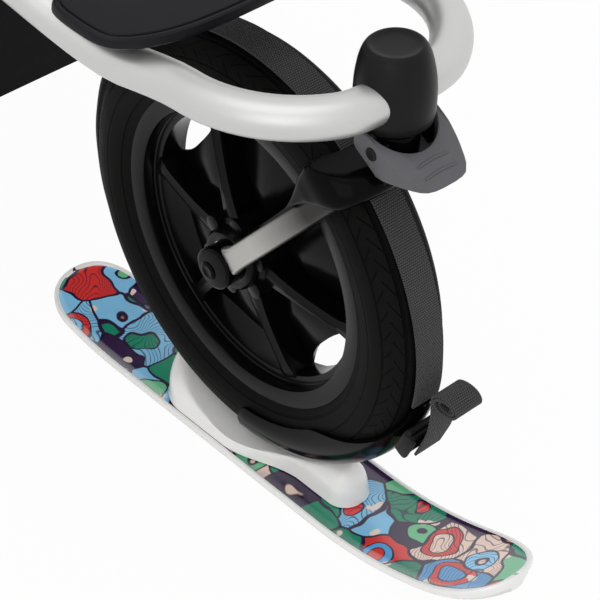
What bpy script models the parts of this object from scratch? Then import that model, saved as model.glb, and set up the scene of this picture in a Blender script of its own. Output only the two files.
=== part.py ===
# Three-wheeled stroller standing on skis. Metres, +Z up, forward is -Y, left is -X.
import math

import bmesh
import bpy
from mathutils import Matrix, Vector

# General clearances
seat_gap = 0.0003
running_gap = 0.001

# Wheel
tyre_radius = 0.152
tyre_sidewall = 0.042
tyre_section_radius = 0.0252
wheel_steps = 30
rim_half_width = 0.0188
rim_flange_thickness = 0.0022
rim_seat_drop = 0.0038
bead_taper = 0.0012
rim_lip_width = 0.0123
rim_lip_drop = 0.0008
rim_well_half_width = 0.0085
rim_well_radius = 0.092
hub_radius = 0.026
hub_half_length = 0.0295
spoke_count = 6
spoke_root_width = 0.026
spoke_tip_width = 0.014
spoke_half_depth = 0.0175
first_spoke_angle = math.radians(39)
bearing_radius = 0.014
bearing_width = 0.008
axle_radius = 0.006
axle_nut_radius = 0.011
axle_nut_height = 0.006

# Ski under each wheel
ski_half_width = 0.037
ski_thickness = 0.0125
ski_nose_reach = 0.234
ski_tail_reach = 0.217
nose_rise_start = 0.085
nose_bend_radius = 0.255
tail_rise_start = 0.125
tail_bend_radius = 0.27
nose_round_length = 0.058
tail_round_length = 0.040
ski_end_share = 0.28
plinth_standoff = 0.009
plinth_nose_reach = 0.094
plinth_tail_reach = 0.088
plinth_tail_half_width = 0.0335
plinth_nose_half_width = 0.0145
plinth_waist_y = -0.020
plinth_waist_length = 0.030
plinth_side_height = 0.007
plinth_crown_height = 0.0195
cradle_thickness = 0.0035
cradle_front_angle = 14
cradle_rear_angle = 94
cradle_lip_height = 0.031
strap_half_width = 0.0105
strap_thickness = 0.0018
strap_gap = 0.0006
buckle_length = 0.024
buckle_half_width = 0.0155
buckle_thickness = 0.011
buckle_angle = math.radians(24)
roll_pitch = 0.0026
roll_core_radius = 0.0035
roll_turns = 3.5
roll_steps = 14
roll_forward = 0.175
roll_below_axle = 0.026

# Front fork and swivel
swivel_y = -0.118
fork_reach_forward = 0.1154
fork_reach_up = 0.1194
leg_half_thickness = 0.006
leg_axle_end_radius = 0.0125
leg_crown_end_radius = 0.0093
wheel_clearance = 0.0055
crown_half_width = 0.0465
crown_low = 0.128
crown_shoulder = 0.150
crown_crest = 0.182
crown_behind_leg = 0.022
crown_before_leg = 0.0115
crown_top = 0.132
cheek_start = 0.136
crown_bolt_radius = 0.0025
crown_bolt_along = 0.164
crown_bolt_below = 0.002
swivel_pin_radius = 0.006
swivel_pin_bottom = 0.1225
swivel_pin_top = 0.1600
collar_radius = 0.0145
collar_top = 0.1500
housing_bottom = 0.158
housing_top = 0.204
housing_radius = 0.0235
housing_top_radius = 0.0175
cap_radius = 0.0148
cap_thickness = 0.003
lever_recess_gap = 0.0005
lever_half_width = 0.0262
lever_tip_half_width = 0.0165
lever_tip_y = -0.1625
lever_tip_top = 0.1340
lever_bottom = 0.1330
lever_slope = math.radians(31)
lever_slope_end_y = -0.1247
lever_back_radius = 0.008
lever_pin_radius = 0.002
lever_pin_forward = 0.009
lever_pin_height = 0.1475
lever_pin_half_length = 0.0255
ear_width = 0.004
ear_inner_x = 0.0155
ear_half_depth = 0.0036
ear_top = 0.1515
ear_root = 0.122

# Main frame tube
frame_tube_radius = 0.0127
loop_nose_y = -0.1262
loop_half_width = 0.0853
loop_height = 0.1742
arm_splay = 0.3157
arm_rise = 0.58725
arm_rise_start_y = 0.0024
bend_blend = 0.03

# Fold hinge and the parts on its axis
fold_y = 0.40
fold_hub_radius = 0.034
hub_inner_reach = 0.022
hub_outer_reach = 0.0192
fold_pin_radius = 0.005
fold_pin_head_radius = 0.009
fold_pin_head = 0.0035
leg_disc_radius = 0.027
leg_disc_width = 0.0195
push_disc_width = 0.025
handle_disc_width = 0.025
push_disc_gap = 0.001

# Rear legs and axle
rear_axle_y = 0.66
rear_track_half = 0.27
rear_tube_radius = 0.0095
beam_radius = 0.012
beam_end_clearance = 0.008
pedal_half_width = 0.022
pedal_collar_radius = 0.018
pedal_reach = 0.078
pedal_thickness = 0.008

# Push bar and handle
push_angle = math.radians(50.5)
push_length = 0.535
push_tube_radius = 0.0115
handle_disc_radius = 0.019
handle_pin_radius = 0.005
handle_reach = 0.120
handle_corner_radius = 0.040
grip_radius = 0.0165
grip_half_length = 0.150

# Seat
crossbar_y = 0.24
crossbar_drop = 0.0124
crossbar_radius = 0.009
recline_tube_radius = 0.010
seat_half_width = 0.146
seat_front_y = 0.16
seat_back_y = 0.385
seat_board_thickness = 0.006
seat_ear_thickness = 0.005
cushion_half_width = 0.142
cushion_front_y = 0.163
cushion_back_y = 0.345
cushion_thickness = 0.029
back_angle = math.radians(65)
back_half_width = 0.140
back_length = 0.50
back_board_thickness = 0.006
knuckle_radius = 0.014
pad_thickness = 0.037
pad_drop = 0.065
crotch_strap_half_width = 0.0125
crotch_strap_length = 0.085
harness_buckle_size = (0.040, 0.045, 0.010)

# Footrest plate
footrest_half_width = 0.114
footrest_front_y = -0.0195
footrest_rear_y = 0.044
footrest_bow = 0.0197
footrest_thickness = 0.010
footrest_rear_bow = 0.004

# Basket
basket_front_y = 0.205
basket_rear_y = 0.50
basket_half_width = 0.155
basket_bottom = 0.207
basket_top = 0.335
basket_wall = 0.003
basket_taper = 0.012
basket_tab_half_width = 0.0125
basket_tab_x = 0.110

# Sides on which copies stand
sides = {"left": -1, "right": 1}

# Rotation that lays an XY outline in the YZ plane and its extrusion along X
side_turn = (math.radians(90), 0, math.radians(90))
# Rotation that turns a shape of revolution about Z into one about X
axle_turn = (0, math.radians(90), 0)

# Sizes that follow from the driving dimensions
axle_height = ski_thickness + plinth_standoff + cradle_thickness + tyre_radius
rim_radius = tyre_radius - tyre_sidewall
wheel_clearance_radius = tyre_radius + wheel_clearance
cradle_half_width = tyre_section_radius + cradle_thickness
tyre_major_radius = tyre_radius - tyre_section_radius
rim_seat_radius = rim_radius - rim_seat_drop
rim_lip_radius = rim_radius - rim_lip_width
leg_inner_x = hub_half_length + running_gap
leg_outer_x = leg_inner_x + 2 * leg_half_thickness
fork_heading = math.radians(47.2)
buckle_seat_radius = tyre_radius + cradle_thickness + 2 * seat_gap
centre_shift = -(rear_axle_y + ski_tail_reach - ski_nose_reach) / 2


def new_scene():
    for obj in list(bpy.data.objects):
        bpy.data.objects.remove(obj, do_unlink=True)


def new_collection(name):
    collection = bpy.data.collections.new(name)
    bpy.context.scene.collection.children.link(collection)
    return collection


def make_material(name, colour, roughness, metallic=0.0):
    material = bpy.data.materials.new(name)
    material.use_nodes = True
    shader = material.node_tree.nodes["Principled BSDF"]
    shader.inputs["Base Color"].default_value = (*colour, 1.0)
    shader.inputs["Roughness"].default_value = roughness
    shader.inputs["Metallic"].default_value = metallic
    return material


new_scene()
parts = new_collection("sled_stroller")
cutters = new_collection("cutters")
materials = {
    "satin_aluminium": make_material("satin_aluminium", (0.62, 0.62, 0.60), 0.34, 0.9),
    "dark_plastic": make_material("dark_plastic", (0.028, 0.028, 0.030), 0.48),
    "slate_plastic": make_material("slate_plastic", (0.065, 0.066, 0.075), 0.50),
    "rim_plastic": make_material("rim_plastic", (0.012, 0.012, 0.013), 0.30),
    "tyre_rubber": make_material("tyre_rubber", (0.016, 0.016, 0.016), 0.72),
    "ski_top": make_material("ski_top", (0.30, 0.52, 0.50), 0.22),
    "white_plastic": make_material("white_plastic", (0.82, 0.82, 0.80), 0.25),
    "webbing": make_material("webbing", (0.016, 0.016, 0.017), 0.85),
    "steel": make_material("steel", (0.55, 0.55, 0.56), 0.30, 1.0),
    "fabric": make_material("fabric", (0.030, 0.030, 0.033), 0.90),
    "grip_foam": make_material("grip_foam", (0.020, 0.020, 0.020), 0.80),
}

# Each body of the stroller is an empty on its joint's axis
bodies = {}


def add_body(name, origin, parent=None):
    empty = bpy.data.objects.new(name + "_axis", None)
    empty.empty_display_size = 0.03
    parts.objects.link(empty)
    origin = Vector(origin)
    if parent is None:
        empty.location = origin + Vector((0, centre_shift, 0))
    else:
        empty.parent = bodies[parent][0]
        empty.location = origin - bodies[parent][1]
    bodies[name] = (empty, origin)


def place(obj, body, at, rotation=(0, 0, 0)):
    empty, origin = bodies[body]
    obj.parent = empty
    obj.location = Vector(at) - origin
    obj.rotation_euler = rotation
    return obj


def dress(obj, material):
    obj.data.materials.clear()
    obj.data.materials.append(materials[material])
    if isinstance(obj.data, bpy.types.Mesh):
        obj.data.shade_smooth()
        obj.data.set_sharp_from_angle(angle=math.radians(35))
    return obj


def add_part(name, data, body, at, material, rotation=(0, 0, 0)):
    obj = bpy.data.objects.new(name, data)
    parts.objects.link(obj)
    place(obj, body, at, rotation)
    return dress(obj, material)


def add_cutter(name, data, body, at, rotation=(0, 0, 0)):
    obj = bpy.data.objects.new(name, data)
    cutters.objects.link(obj)
    obj.hide_render = True
    obj.display_type = "WIRE"
    return place(obj, body, at, rotation)


def boolean(obj, cutter, operation="DIFFERENCE"):
    modifier = obj.modifiers.new(operation.lower() + "_" + cutter.name, "BOOLEAN")
    modifier.operation = operation
    modifier.object = cutter
    return obj


def bevel(obj, width, segments=2, angle=35):
    modifier = obj.modifiers.new("rounded_edges", "BEVEL")
    modifier.width = width
    modifier.segments = segments
    modifier.limit_method = "ANGLE"
    modifier.angle_limit = math.radians(angle)
    return obj


def mesh_from(bm, name):
    mesh = bpy.data.meshes.new(name)
    bm.to_mesh(mesh)
    bm.free()
    return mesh


def box_mesh(name, low, high):
    bm = bmesh.new()
    bmesh.ops.create_cube(bm, size=1)
    low, high = Vector(low), Vector(high)
    bmesh.ops.scale(bm, vec=high - low, verts=bm.verts)
    bmesh.ops.translate(bm, vec=(low + high) / 2, verts=bm.verts)
    return mesh_from(bm, name)


def rod_mesh(name, radius, start, end, segments=24):
    """A cylinder along X from start to end."""
    bm = bmesh.new()
    turn = Matrix.Translation(((start + end) / 2, 0, 0)) @ Matrix.Rotation(math.radians(90), 4, "Y")
    bmesh.ops.create_cone(bm, cap_ends=True, segments=segments, radius1=radius, radius2=radius,
                          depth=abs(end - start), matrix=turn)
    return mesh_from(bm, name)


def post_mesh(name, radius, bottom, top, segments=24):
    """A cylinder along Z from bottom to top."""
    bm = bmesh.new()
    bmesh.ops.create_cone(bm, cap_ends=True, segments=segments, radius1=radius, radius2=radius,
                          depth=top - bottom, matrix=Matrix.Translation((0, 0, (bottom + top) / 2)))
    return mesh_from(bm, name)


def profile_mesh(name, points, closed):
    """A profile of radius and height pairs in the XZ plane, for a Screw modifier."""
    bm = bmesh.new()
    verts = [bm.verts.new((radius, 0, height)) for radius, height in points]
    pairs = list(zip(verts, verts[1:]))
    if closed:
        pairs.append((verts[-1], verts[0]))
    for first, second in pairs:
        bm.edges.new((first, second))
    return mesh_from(bm, name)


def turn_profile(obj, steps):
    modifier = obj.modifiers.new("turned", "SCREW")
    modifier.axis = "Z"
    modifier.angle = math.tau
    modifier.steps = steps
    modifier.render_steps = steps
    modifier.use_merge_vertices = True
    modifier.merge_threshold = 0.00001
    modifier.use_smooth_shade = True
    return obj


def tube_curve(name, points, radius, resolution=2):
    curve = bpy.data.curves.new(name, "CURVE")
    curve.dimensions = "3D"
    curve.bevel_depth = radius
    curve.bevel_resolution = resolution
    curve.use_fill_caps = True
    spline = curve.splines.new("POLY")
    spline.points.add(len(points) - 1)
    for point, co in zip(spline.points, points):
        point.co = (*co, 1)
    return curve


def outline_curve(name, points, half_thickness):
    curve = bpy.data.curves.new(name, "CURVE")
    curve.dimensions = "2D"
    curve.fill_mode = "BOTH"
    curve.extrude = half_thickness
    spline = curve.splines.new("POLY")
    spline.points.add(len(points) - 1)
    for point, co in zip(spline.points, points):
        point.co = (co[0], co[1], 0, 1)
    spline.use_cyclic_u = True
    return curve


def curve_to_mesh(curve):
    """The welded mesh of a curve, for pieces that are cut or joined."""
    holder = bpy.data.objects.new(curve.name, curve)
    bpy.context.scene.collection.objects.link(holder)
    graph = bpy.context.evaluated_depsgraph_get()
    mesh = bpy.data.meshes.new_from_object(holder.evaluated_get(graph))
    bpy.data.objects.remove(holder, do_unlink=True)
    bm = bmesh.new()
    bm.from_mesh(mesh)
    bmesh.ops.remove_doubles(bm, verts=bm.verts, dist=0.00002)
    bmesh.ops.recalc_face_normals(bm, faces=bm.faces)
    bm.to_mesh(mesh)
    bm.free()
    return mesh


def finished_mesh(obj):
    """A copy of an object's mesh with its modifiers applied, for the other wheels."""
    graph = bpy.context.evaluated_depsgraph_get()
    return bpy.data.meshes.new_from_object(obj.evaluated_get(graph))


def arc(centre, radius, start, end, count):
    """Points on an arc between two angles in degrees, both ends included."""
    steps = [math.radians(start + (end - start) * k / (count - 1)) for k in range(count)]
    return [(centre[0] + radius * math.cos(a), centre[1] + radius * math.sin(a)) for a in steps]


def blend_rise(distance):
    """A straight run that starts with a bend."""
    distance = max(distance, 0.0)
    return distance * distance / (distance + bend_blend)


def loop_point(side, y):
    """The frame arm's centre behind the nose bend, at a distance along Y."""
    back_of_bend = loop_nose_y + loop_half_width
    x = loop_half_width + arm_splay * blend_rise(y - back_of_bend)
    z = axle_height + loop_height + arm_rise * blend_rise(y - arm_rise_start_y)
    return Vector((side * x, y, z))


def frame_path(end_y):
    """Centre line of the frame tube from the left hub round the nose to the right one."""
    bend_steps, arm_steps = 9, 11
    back_of_bend = loop_nose_y + loop_half_width
    half = []
    for k in range(bend_steps):
        angle = math.radians(90) * k / bend_steps
        y = loop_nose_y + loop_half_width * (1 - math.cos(angle))
        half.append(Vector((loop_half_width * math.sin(angle), y, loop_point(1, y).z)))
    for k in range(arm_steps + 1):
        half.append(loop_point(1, back_of_bend + (end_y - back_of_bend) * k / arm_steps))
    mirrored = [Vector((-p.x, p.y, p.z)) for p in reversed(half[1:])]
    return mirrored + half


def push_point(distance, x=0.0):
    """A point on the push bar's line, measured from the fold axis."""
    return Vector((x, fold_y + distance * math.cos(push_angle), fold_z + distance * math.sin(push_angle)))


# Places that follow from the frame
fold_z = loop_point(1, fold_y).z
fold_hub_x = loop_point(1, fold_y).x
hub_inner_x = fold_hub_x - hub_inner_reach
hub_outer_x = fold_hub_x + hub_outer_reach
leg_disc_outer_x = hub_inner_x - seat_gap
leg_disc_inner_x = leg_disc_outer_x - leg_disc_width
rear_leg_x = (leg_disc_outer_x + leg_disc_inner_x) / 2
push_disc_inner_x = hub_outer_x + push_disc_gap
push_disc_outer_x = push_disc_inner_x + push_disc_width
push_x = (push_disc_inner_x + push_disc_outer_x) / 2
handle_disc_outer_x = push_disc_inner_x - seat_gap
handle_disc_inner_x = handle_disc_outer_x - handle_disc_width
handle_arm_x = (handle_disc_outer_x + handle_disc_inner_x) / 2
crossbar_z = loop_point(1, crossbar_y).z - crossbar_drop
seat_board_bottom = crossbar_z + crossbar_radius + seat_gap
seat_board_top = seat_board_bottom + seat_board_thickness
cushion_bottom = seat_board_top + seat_gap
cushion_top = cushion_bottom + cushion_thickness

swivel_at = (0, swivel_y, axle_height)
front_axle_at = (0, 0, axle_height)
fold_at = (0, fold_y, fold_z)
rear_axle_at = (0, rear_axle_y, axle_height)
handle_at = push_point(push_length)
lever_pin_at = (0, swivel_y - lever_pin_forward, axle_height + lever_pin_height)

add_body("frame", (0, 0, 0))
add_body("caster", swivel_at, "frame")
add_body("lock_lever", lever_pin_at, "caster")
add_body("front_wheel", front_axle_at, "caster")
add_body("rear_legs", fold_at, "frame")
add_body("brake_pedal", rear_axle_at, "rear_legs")
for side_name, side in sides.items():
    add_body("rear_wheel_" + side_name, (side * rear_track_half, rear_axle_y, axle_height), "rear_legs")
add_body("push_bar", fold_at, "frame")
add_body("handle", handle_at, "push_bar")
add_body("backrest", fold_at, "push_bar")


def ski_surface():
    """The ski's underside: rounded ends, both of them curved up."""
    rows, columns = 16, 4
    bm = bmesh.new()
    bmesh.ops.create_grid(bm, x_segments=columns, y_segments=rows, size=1)
    length = ski_nose_reach + ski_tail_reach
    for vert in bm.verts:
        # Rows crowd towards the ends, where the outline turns
        share = 0.5 - 0.5 * math.cos(math.pi * (vert.co.y + 1) / 2)
        y = -ski_nose_reach + length * share
        nose = max(0.0, nose_round_length - (ski_nose_reach + y)) / nose_round_length
        tail = max(0.0, tail_round_length - (ski_tail_reach - y)) / tail_round_length
        taper = max(0.0, 1 - max(nose, tail) ** 2.4) ** (1 / 2.4)
        width = ski_half_width * max(ski_end_share, taper)
        rise = max(0.0, -y - nose_rise_start) ** 2 / (2 * nose_bend_radius)
        rise += max(0.0, y - tail_rise_start) ** 2 / (2 * tail_bend_radius)
        vert.co = (vert.co.x * width, y, rise - axle_height)
    return mesh_from(bm, "ski_surface")


def plinth_half_width(y):
    """The plinth is broad under the wheel, drawn in at the waist and slim at its nose."""
    share = min(1.0, max(0.0, (y - plinth_waist_y) / plinth_waist_length * 0.5 + 0.5))
    ease = share * share * (3 - 2 * share)
    width = plinth_nose_half_width + (plinth_tail_half_width - plinth_nose_half_width) * ease
    nose = min(1.0, (y + plinth_nose_reach) / plinth_nose_half_width)
    tail = min(1.0, (plinth_tail_reach - y) / plinth_tail_half_width)
    reach = max(0.0, min(nose, tail))
    return width * math.sqrt(1 - (1 - reach) ** 2)


def plinth_mesh():
    """A crowned boat shape that stands on the ski, lofted along its length."""
    rows, columns = 12, 6
    foot = ski_thickness + seat_gap - axle_height
    bm = bmesh.new()
    rings = []
    for k in range(rows + 1):
        along = 0.5 - 0.5 * math.cos(math.pi * (0.02 + 0.96 * k / rows))
        y = -plinth_nose_reach + (plinth_nose_reach + plinth_tail_reach) * along
        half = plinth_half_width(y)
        ring = [bm.verts.new((half, y, foot)), bm.verts.new((-half, y, foot))]
        lift = min(1.0, half / plinth_nose_half_width)
        for c in range(columns + 1):
            angle = math.pi * (1 - c / columns)
            height = plinth_side_height + plinth_crown_height * math.sin(angle) * lift
            ring.append(bm.verts.new((half * math.cos(angle), y, foot + height * lift)))
        rings.append(ring)
    for first, second in zip(rings, rings[1:]):
        for a in range(len(first)):
            b = (a + 1) % len(first)
            bm.faces.new((first[a], first[b], second[b], second[a]))
    bm.faces.new(rings[0])
    bm.faces.new(rings[-1])
    bmesh.ops.recalc_face_normals(bm, faces=bm.faces)
    return mesh_from(bm, "plinth")


def build_ski(prefix, body, at):
    board = add_part(prefix + "_ski_board", ski_surface(), body, at, "ski_top")
    shell = board.modifiers.new("board_thickness", "SOLIDIFY")
    shell.thickness = ski_thickness
    shell.offset = 1

    plinth = add_part(prefix + "_ski_plinth", plinth_mesh(), body, at, "white_plastic")
    seat = add_cutter(prefix + "_plinth_seat",
                      rod_mesh("plinth_seat", buckle_seat_radius, -plinth_tail_half_width * 2,
                               plinth_tail_half_width * 2, 64),
                      body, at)
    boolean(plinth, seat)


def cradle_outline():
    """Side view of the cradle in the wheel's YZ plane, forward is -Y."""
    front, rear = 180 + cradle_front_angle, 180 + cradle_rear_angle
    outer = arc((0, 0), tyre_radius + cradle_thickness + seat_gap, front, rear, 16)
    tread = tyre_radius - 0.002
    lip = tyre_radius - cradle_lip_height
    inner = []
    for k in range(10):
        share = k / 9
        angle = math.radians(rear + (front - rear) * share)
        ease = min(1.0, share / 0.12, (1 - share) / 0.55)
        ease = ease * ease * (3 - 2 * ease)
        radius = tread + (lip - tread) * ease
        inner.append((radius * math.cos(angle), radius * math.sin(angle)))
    return outer + inner


def tyre_room_profile():
    """The tyre's own section with straight sides, which the cradle leaves free."""
    half = tyre_section_radius + seat_gap
    points = [(tyre_major_radius + half * math.cos(a), half * math.sin(a))
              for a in [math.radians(90 - 15 * k) for k in range(13)]]
    inside = tyre_radius - cradle_lip_height - 0.02
    return [(inside, half)] + points + [(inside, -half)]


def build_cradle(prefix, body, at):
    body_mesh = curve_to_mesh(outline_curve(prefix + "_cradle", cradle_outline(), cradle_half_width))
    cradle = add_part(prefix + "_ski_cradle", body_mesh, body, at, "dark_plastic", side_turn)
    room = add_cutter(prefix + "_tyre_room", profile_mesh("tyre_room", tyre_room_profile(), True),
                      body, at, axle_turn)
    turn_profile(room, wheel_steps)
    boolean(cradle, room)


def build_strap(prefix, body, at):
    inside = tyre_radius + strap_gap
    outside = inside + strap_thickness
    end_gap = math.degrees(seat_gap / tyre_radius)
    front = 180 + cradle_front_angle - end_gap
    rear = 180 + cradle_rear_angle + end_gap - 360
    outline = arc((0, 0), outside, rear, front, 31) + arc((0, 0), inside, front, rear, 31)
    mesh = curve_to_mesh(outline_curve(prefix + "_strap", outline, strap_half_width))
    add_part(prefix + "_ski_strap", mesh, body, at, "webbing", side_turn)

    half = buckle_length / 2
    low = (-buckle_half_width, -buckle_seat_radius - buckle_thickness, -half)
    high = (buckle_half_width, -buckle_seat_radius, half)
    buckle = add_part(prefix + "_ski_buckle", box_mesh("buckle", low, high), body, at,
                      "dark_plastic", (buckle_angle, 0, 0))
    bevel(buckle, 0.002, 1)


def tyre_profile():
    reach = math.acos((rim_radius + seat_gap - tyre_major_radius) / tyre_section_radius)
    steps = 8
    angles = [reach - 2 * reach * k / steps for k in range(steps + 1)]
    section = [(tyre_major_radius + tyre_section_radius * math.cos(a), tyre_section_radius * math.sin(a))
               for a in angles]
    bead = rim_half_width - rim_flange_thickness - seat_gap
    foot = [(rim_seat_radius + seat_gap, bead - bead_taper), (rim_radius + seat_gap, bead)]
    return foot + section + [(r, -z) for r, z in reversed(foot)]


def rim_profile():
    bead = rim_half_width - rim_flange_thickness
    outer = [(rim_radius, rim_half_width), (rim_radius, bead), (rim_seat_radius, bead - bead_taper)]
    inner = [(rim_well_radius, rim_well_half_width), (rim_lip_radius, rim_well_half_width),
             (rim_lip_radius, rim_half_width - rim_lip_drop)]
    top = outer
    bottom = [(r, -z) for r, z in reversed(outer)]
    return top + bottom + [(r, -z) for r, z in reversed(inner)] + inner


def hub_profile():
    seat = bearing_radius + seat_gap
    bore = axle_radius + seat_gap
    shoulder = hub_half_length - bearing_width - seat_gap
    upper = [(seat, hub_half_length), (seat, shoulder), (bore, shoulder)]
    lower = [(r, -z) for r, z in reversed(upper)]
    outer = [(hub_radius, hub_half_length), (hub_radius, -hub_half_length)]
    return outer + lower[::-1] + upper[::-1]


def spokes_mesh():
    bm = bmesh.new()
    start, end = hub_radius - 0.003, rim_well_radius + 0.003
    for k in range(spoke_count):
        angle = first_spoke_angle + math.tau * k / spoke_count
        made = bmesh.ops.create_cube(bm, size=1)["verts"]
        for vert in made:
            tip = vert.co.z > 0
            depth = rim_well_half_width - 0.0002 if tip else spoke_half_depth
            width = spoke_tip_width if tip else spoke_root_width
            vert.co = (2 * depth * vert.co.x, width * vert.co.y, (end - start) * vert.co.z)
        bmesh.ops.translate(bm, vec=(0, 0, (start + end) / 2), verts=made)
        bmesh.ops.rotate(bm, cent=(0, 0, 0), matrix=Matrix.Rotation(angle, 3, "X"), verts=made)
    return mesh_from(bm, "spokes")


def build_wheel(prefix, body, at):
    tyre = add_part(prefix + "_tyre", profile_mesh("tyre", tyre_profile(), True), body, at,
                    "tyre_rubber", axle_turn)
    turn_profile(tyre, wheel_steps)
    rim = add_part(prefix + "_rim", profile_mesh("rim", rim_profile(), True), body, at,
                   "rim_plastic", axle_turn)
    turn_profile(rim, wheel_steps)
    hub = add_cutter(prefix + "_hub", profile_mesh("hub", hub_profile(), True), body, at, axle_turn)
    turn_profile(hub, 16)
    spokes = add_cutter(prefix + "_spokes", spokes_mesh(), body, at)
    boolean(rim, hub, "UNION")
    boolean(rim, spokes, "UNION")


def ring_profile(inside, outside, half_width):
    return [(outside, half_width), (outside, -half_width), (inside, -half_width), (inside, half_width)]


def build_bearings():
    profile = ring_profile(axle_radius + seat_gap, bearing_radius, bearing_width / 2)
    for side_name, side in sides.items():
        at = (side * (hub_half_length - bearing_width / 2), 0, axle_height)
        ring = add_part("front_bearing_" + side_name, profile_mesh("bearing", profile, True),
                        "front_wheel", at, "steel", axle_turn)
        turn_profile(ring, 18)


def ribbon_outline(path, half):
    """Both edges of a ribbon seen from its side, round a line of points."""
    left, right = [], []
    for k, point in enumerate(path):
        run = path[min(k + 1, len(path) - 1)] - path[max(k - 1, 0)]
        normal = Vector((-run.y, run.x)).normalized() * half
        left.append(point + normal)
        right.append(point - normal)
    return left + right[::-1]


def least_gap(path, apart):
    """The least gap between turns of the ribbon that are at least this many points apart."""
    distances = [(first - second).length for k, first in enumerate(path) for second in path[k + apart:]]
    return min(distances) - strap_thickness


def build_strap_roll():
    """The strap's spare end: it leaves the buckle's face, runs up and is rolled tight."""
    total = math.tau * roll_turns
    centre = Vector((-roll_forward, -roll_below_axle))
    count = int(roll_turns * roll_steps)
    path = []
    for k in range(count + 1):
        turned = total * k / count
        radius = roll_core_radius + roll_pitch * turned / math.tau
        path.append(centre + radius * Vector((math.cos(total - turned), math.sin(total - turned))))
    down = Vector((math.sin(buckle_angle), -math.cos(buckle_angle)))
    out = Vector((-math.cos(buckle_angle), -math.sin(buckle_angle)))
    face = buckle_seat_radius + buckle_thickness + seat_gap + strap_thickness / 2
    top = out * face - down * (buckle_length / 2)
    start = path[-1]
    pull = (top - start).length / 3
    first, second = start - Vector((0, pull)), top - down * pull
    for k in range(1, 7):
        t = k / 6
        path.append(start * (1 - t) ** 3 + first * 3 * t * (1 - t) ** 2
                    + second * 3 * t * t * (1 - t) + top * t ** 3)
    path.append(out * face + down * (buckle_length / 4))
    print("least gap in the strap roll: %.5f" % least_gap(path, int(roll_steps * 0.7)))
    mesh = curve_to_mesh(outline_curve("strap_roll", ribbon_outline(path, strap_thickness / 2),
                                       strap_half_width))
    add_part("front_strap_roll", mesh, "front_wheel", front_axle_at, "webbing", side_turn)


def copy_wheel(source, prefix, body, offset):
    """Repeat the front wheel and its ski for a rear corner."""
    names = ("_tyre", "_rim", "_ski_board", "_ski_plinth", "_ski_cradle", "_ski_strap", "_ski_buckle")
    for name in names:
        original = parts.objects[source + name]
        material = original.data.materials[0].name
        rotation = tuple(original.rotation_euler)
        add_part(prefix + name, finished_mesh(original), body, offset, material, rotation)


def leg_outline():
    """A tapered bar with round ends, from the axle up to the crown."""
    heading = math.degrees(math.atan2(fork_reach_up, -fork_reach_forward))
    low = arc((0, 0), leg_axle_end_radius, heading + 90, heading + 270, 9)
    high = arc((-fork_reach_forward, fork_reach_up), leg_crown_end_radius, heading - 90, heading + 90, 9)
    return low + high


def fork_point(along, across, x=0.0):
    """A point in the fork's own plane: along the legs from the axle, and square to them."""
    y = -along * math.cos(fork_heading) + across * math.sin(fork_heading)
    z = along * math.sin(fork_heading) + across * math.cos(fork_heading)
    return Vector((x, y, axle_height + z))


def build_fork():
    middle = leg_inner_x + leg_half_thickness
    bore_reach = leg_outer_x + 0.02
    axle_bore = add_cutter("axle_bore", rod_mesh("axle_bore", axle_radius + seat_gap, -bore_reach, bore_reach),
                           "caster", front_axle_at)
    bolt_at = fork_point(crown_bolt_along, -crown_bolt_below)
    bolt_bore = add_cutter("bolt_bore", rod_mesh("bolt_bore", crown_bolt_radius + seat_gap,
                                                 -bore_reach, bore_reach), "caster", bolt_at)
    for side_name, side in sides.items():
        mesh = curve_to_mesh(outline_curve("fork_leg", leg_outline(), leg_half_thickness))
        leg = add_part("fork_leg_" + side_name, mesh, "caster", (side * middle, 0, axle_height),
                       "satin_aluminium", side_turn)
        bevel(leg, 0.0025, 1, 60)
        boolean(leg, axle_bore)
        boolean(leg, bolt_bore)

    bolt_end = crown_half_width - 0.0005
    add_part("crown_bolt", rod_mesh("crown_bolt", crown_bolt_radius, -bolt_end, bolt_end, 14),
             "caster", bolt_at, "steel")

    shoulder = leg_outer_x + seat_gap
    end = shoulder + axle_nut_height
    axle = add_part("front_axle", profile_mesh("front_axle", shaft_profile(
        axle_radius, axle_nut_radius, shoulder, end), False), "caster", front_axle_at, "steel", axle_turn)
    turn_profile(axle, 16)
    return bolt_bore


def shaft_profile(radius, head_radius, shoulder, end):
    """A shaft with a head at both ends, from pole to pole."""
    return [(0, end), (head_radius, end), (head_radius, shoulder), (radius, shoulder),
            (radius, -shoulder), (head_radius, -shoulder), (head_radius, -end), (0, -end)]


def crown_outline():
    """The arch over the wheel, seen square to the legs: X and the distance from the axle."""
    right = [(crown_half_width, crown_low), (crown_half_width, crown_shoulder),
             (crown_half_width - 0.0022, 0.159), (0.040, 0.166), (0.034, 0.1725), (0.027, 0.178),
             (0.014, crown_crest)]
    return right + [(-x, along) for x, along in reversed(right)]


def tilt_into_fork(mesh):
    """Turn an outline drawn in X and distance, extruded across the legs, into the fork's plane."""
    for vert in mesh.vertices:
        vert.co = fork_point(vert.co.y, vert.co.z, vert.co.x) - Vector(front_axle_at)
    mesh.flip_normals()
    return mesh


def crown_mesh():
    half = (crown_behind_leg + crown_before_leg) / 2
    mesh = curve_to_mesh(outline_curve("crown", crown_outline(), half))
    for vert in mesh.vertices:
        vert.co.z += half - crown_before_leg
    return tilt_into_fork(mesh)


def grown_leg_outline():
    heading = math.degrees(math.atan2(fork_reach_up, -fork_reach_forward))
    low = arc((0, 0), leg_axle_end_radius + seat_gap, heading + 90, heading + 270, 9)
    top = (-fork_reach_forward, fork_reach_up)
    return low + arc(top, leg_crown_end_radius + seat_gap, heading - 90, heading + 90, 9)


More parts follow.
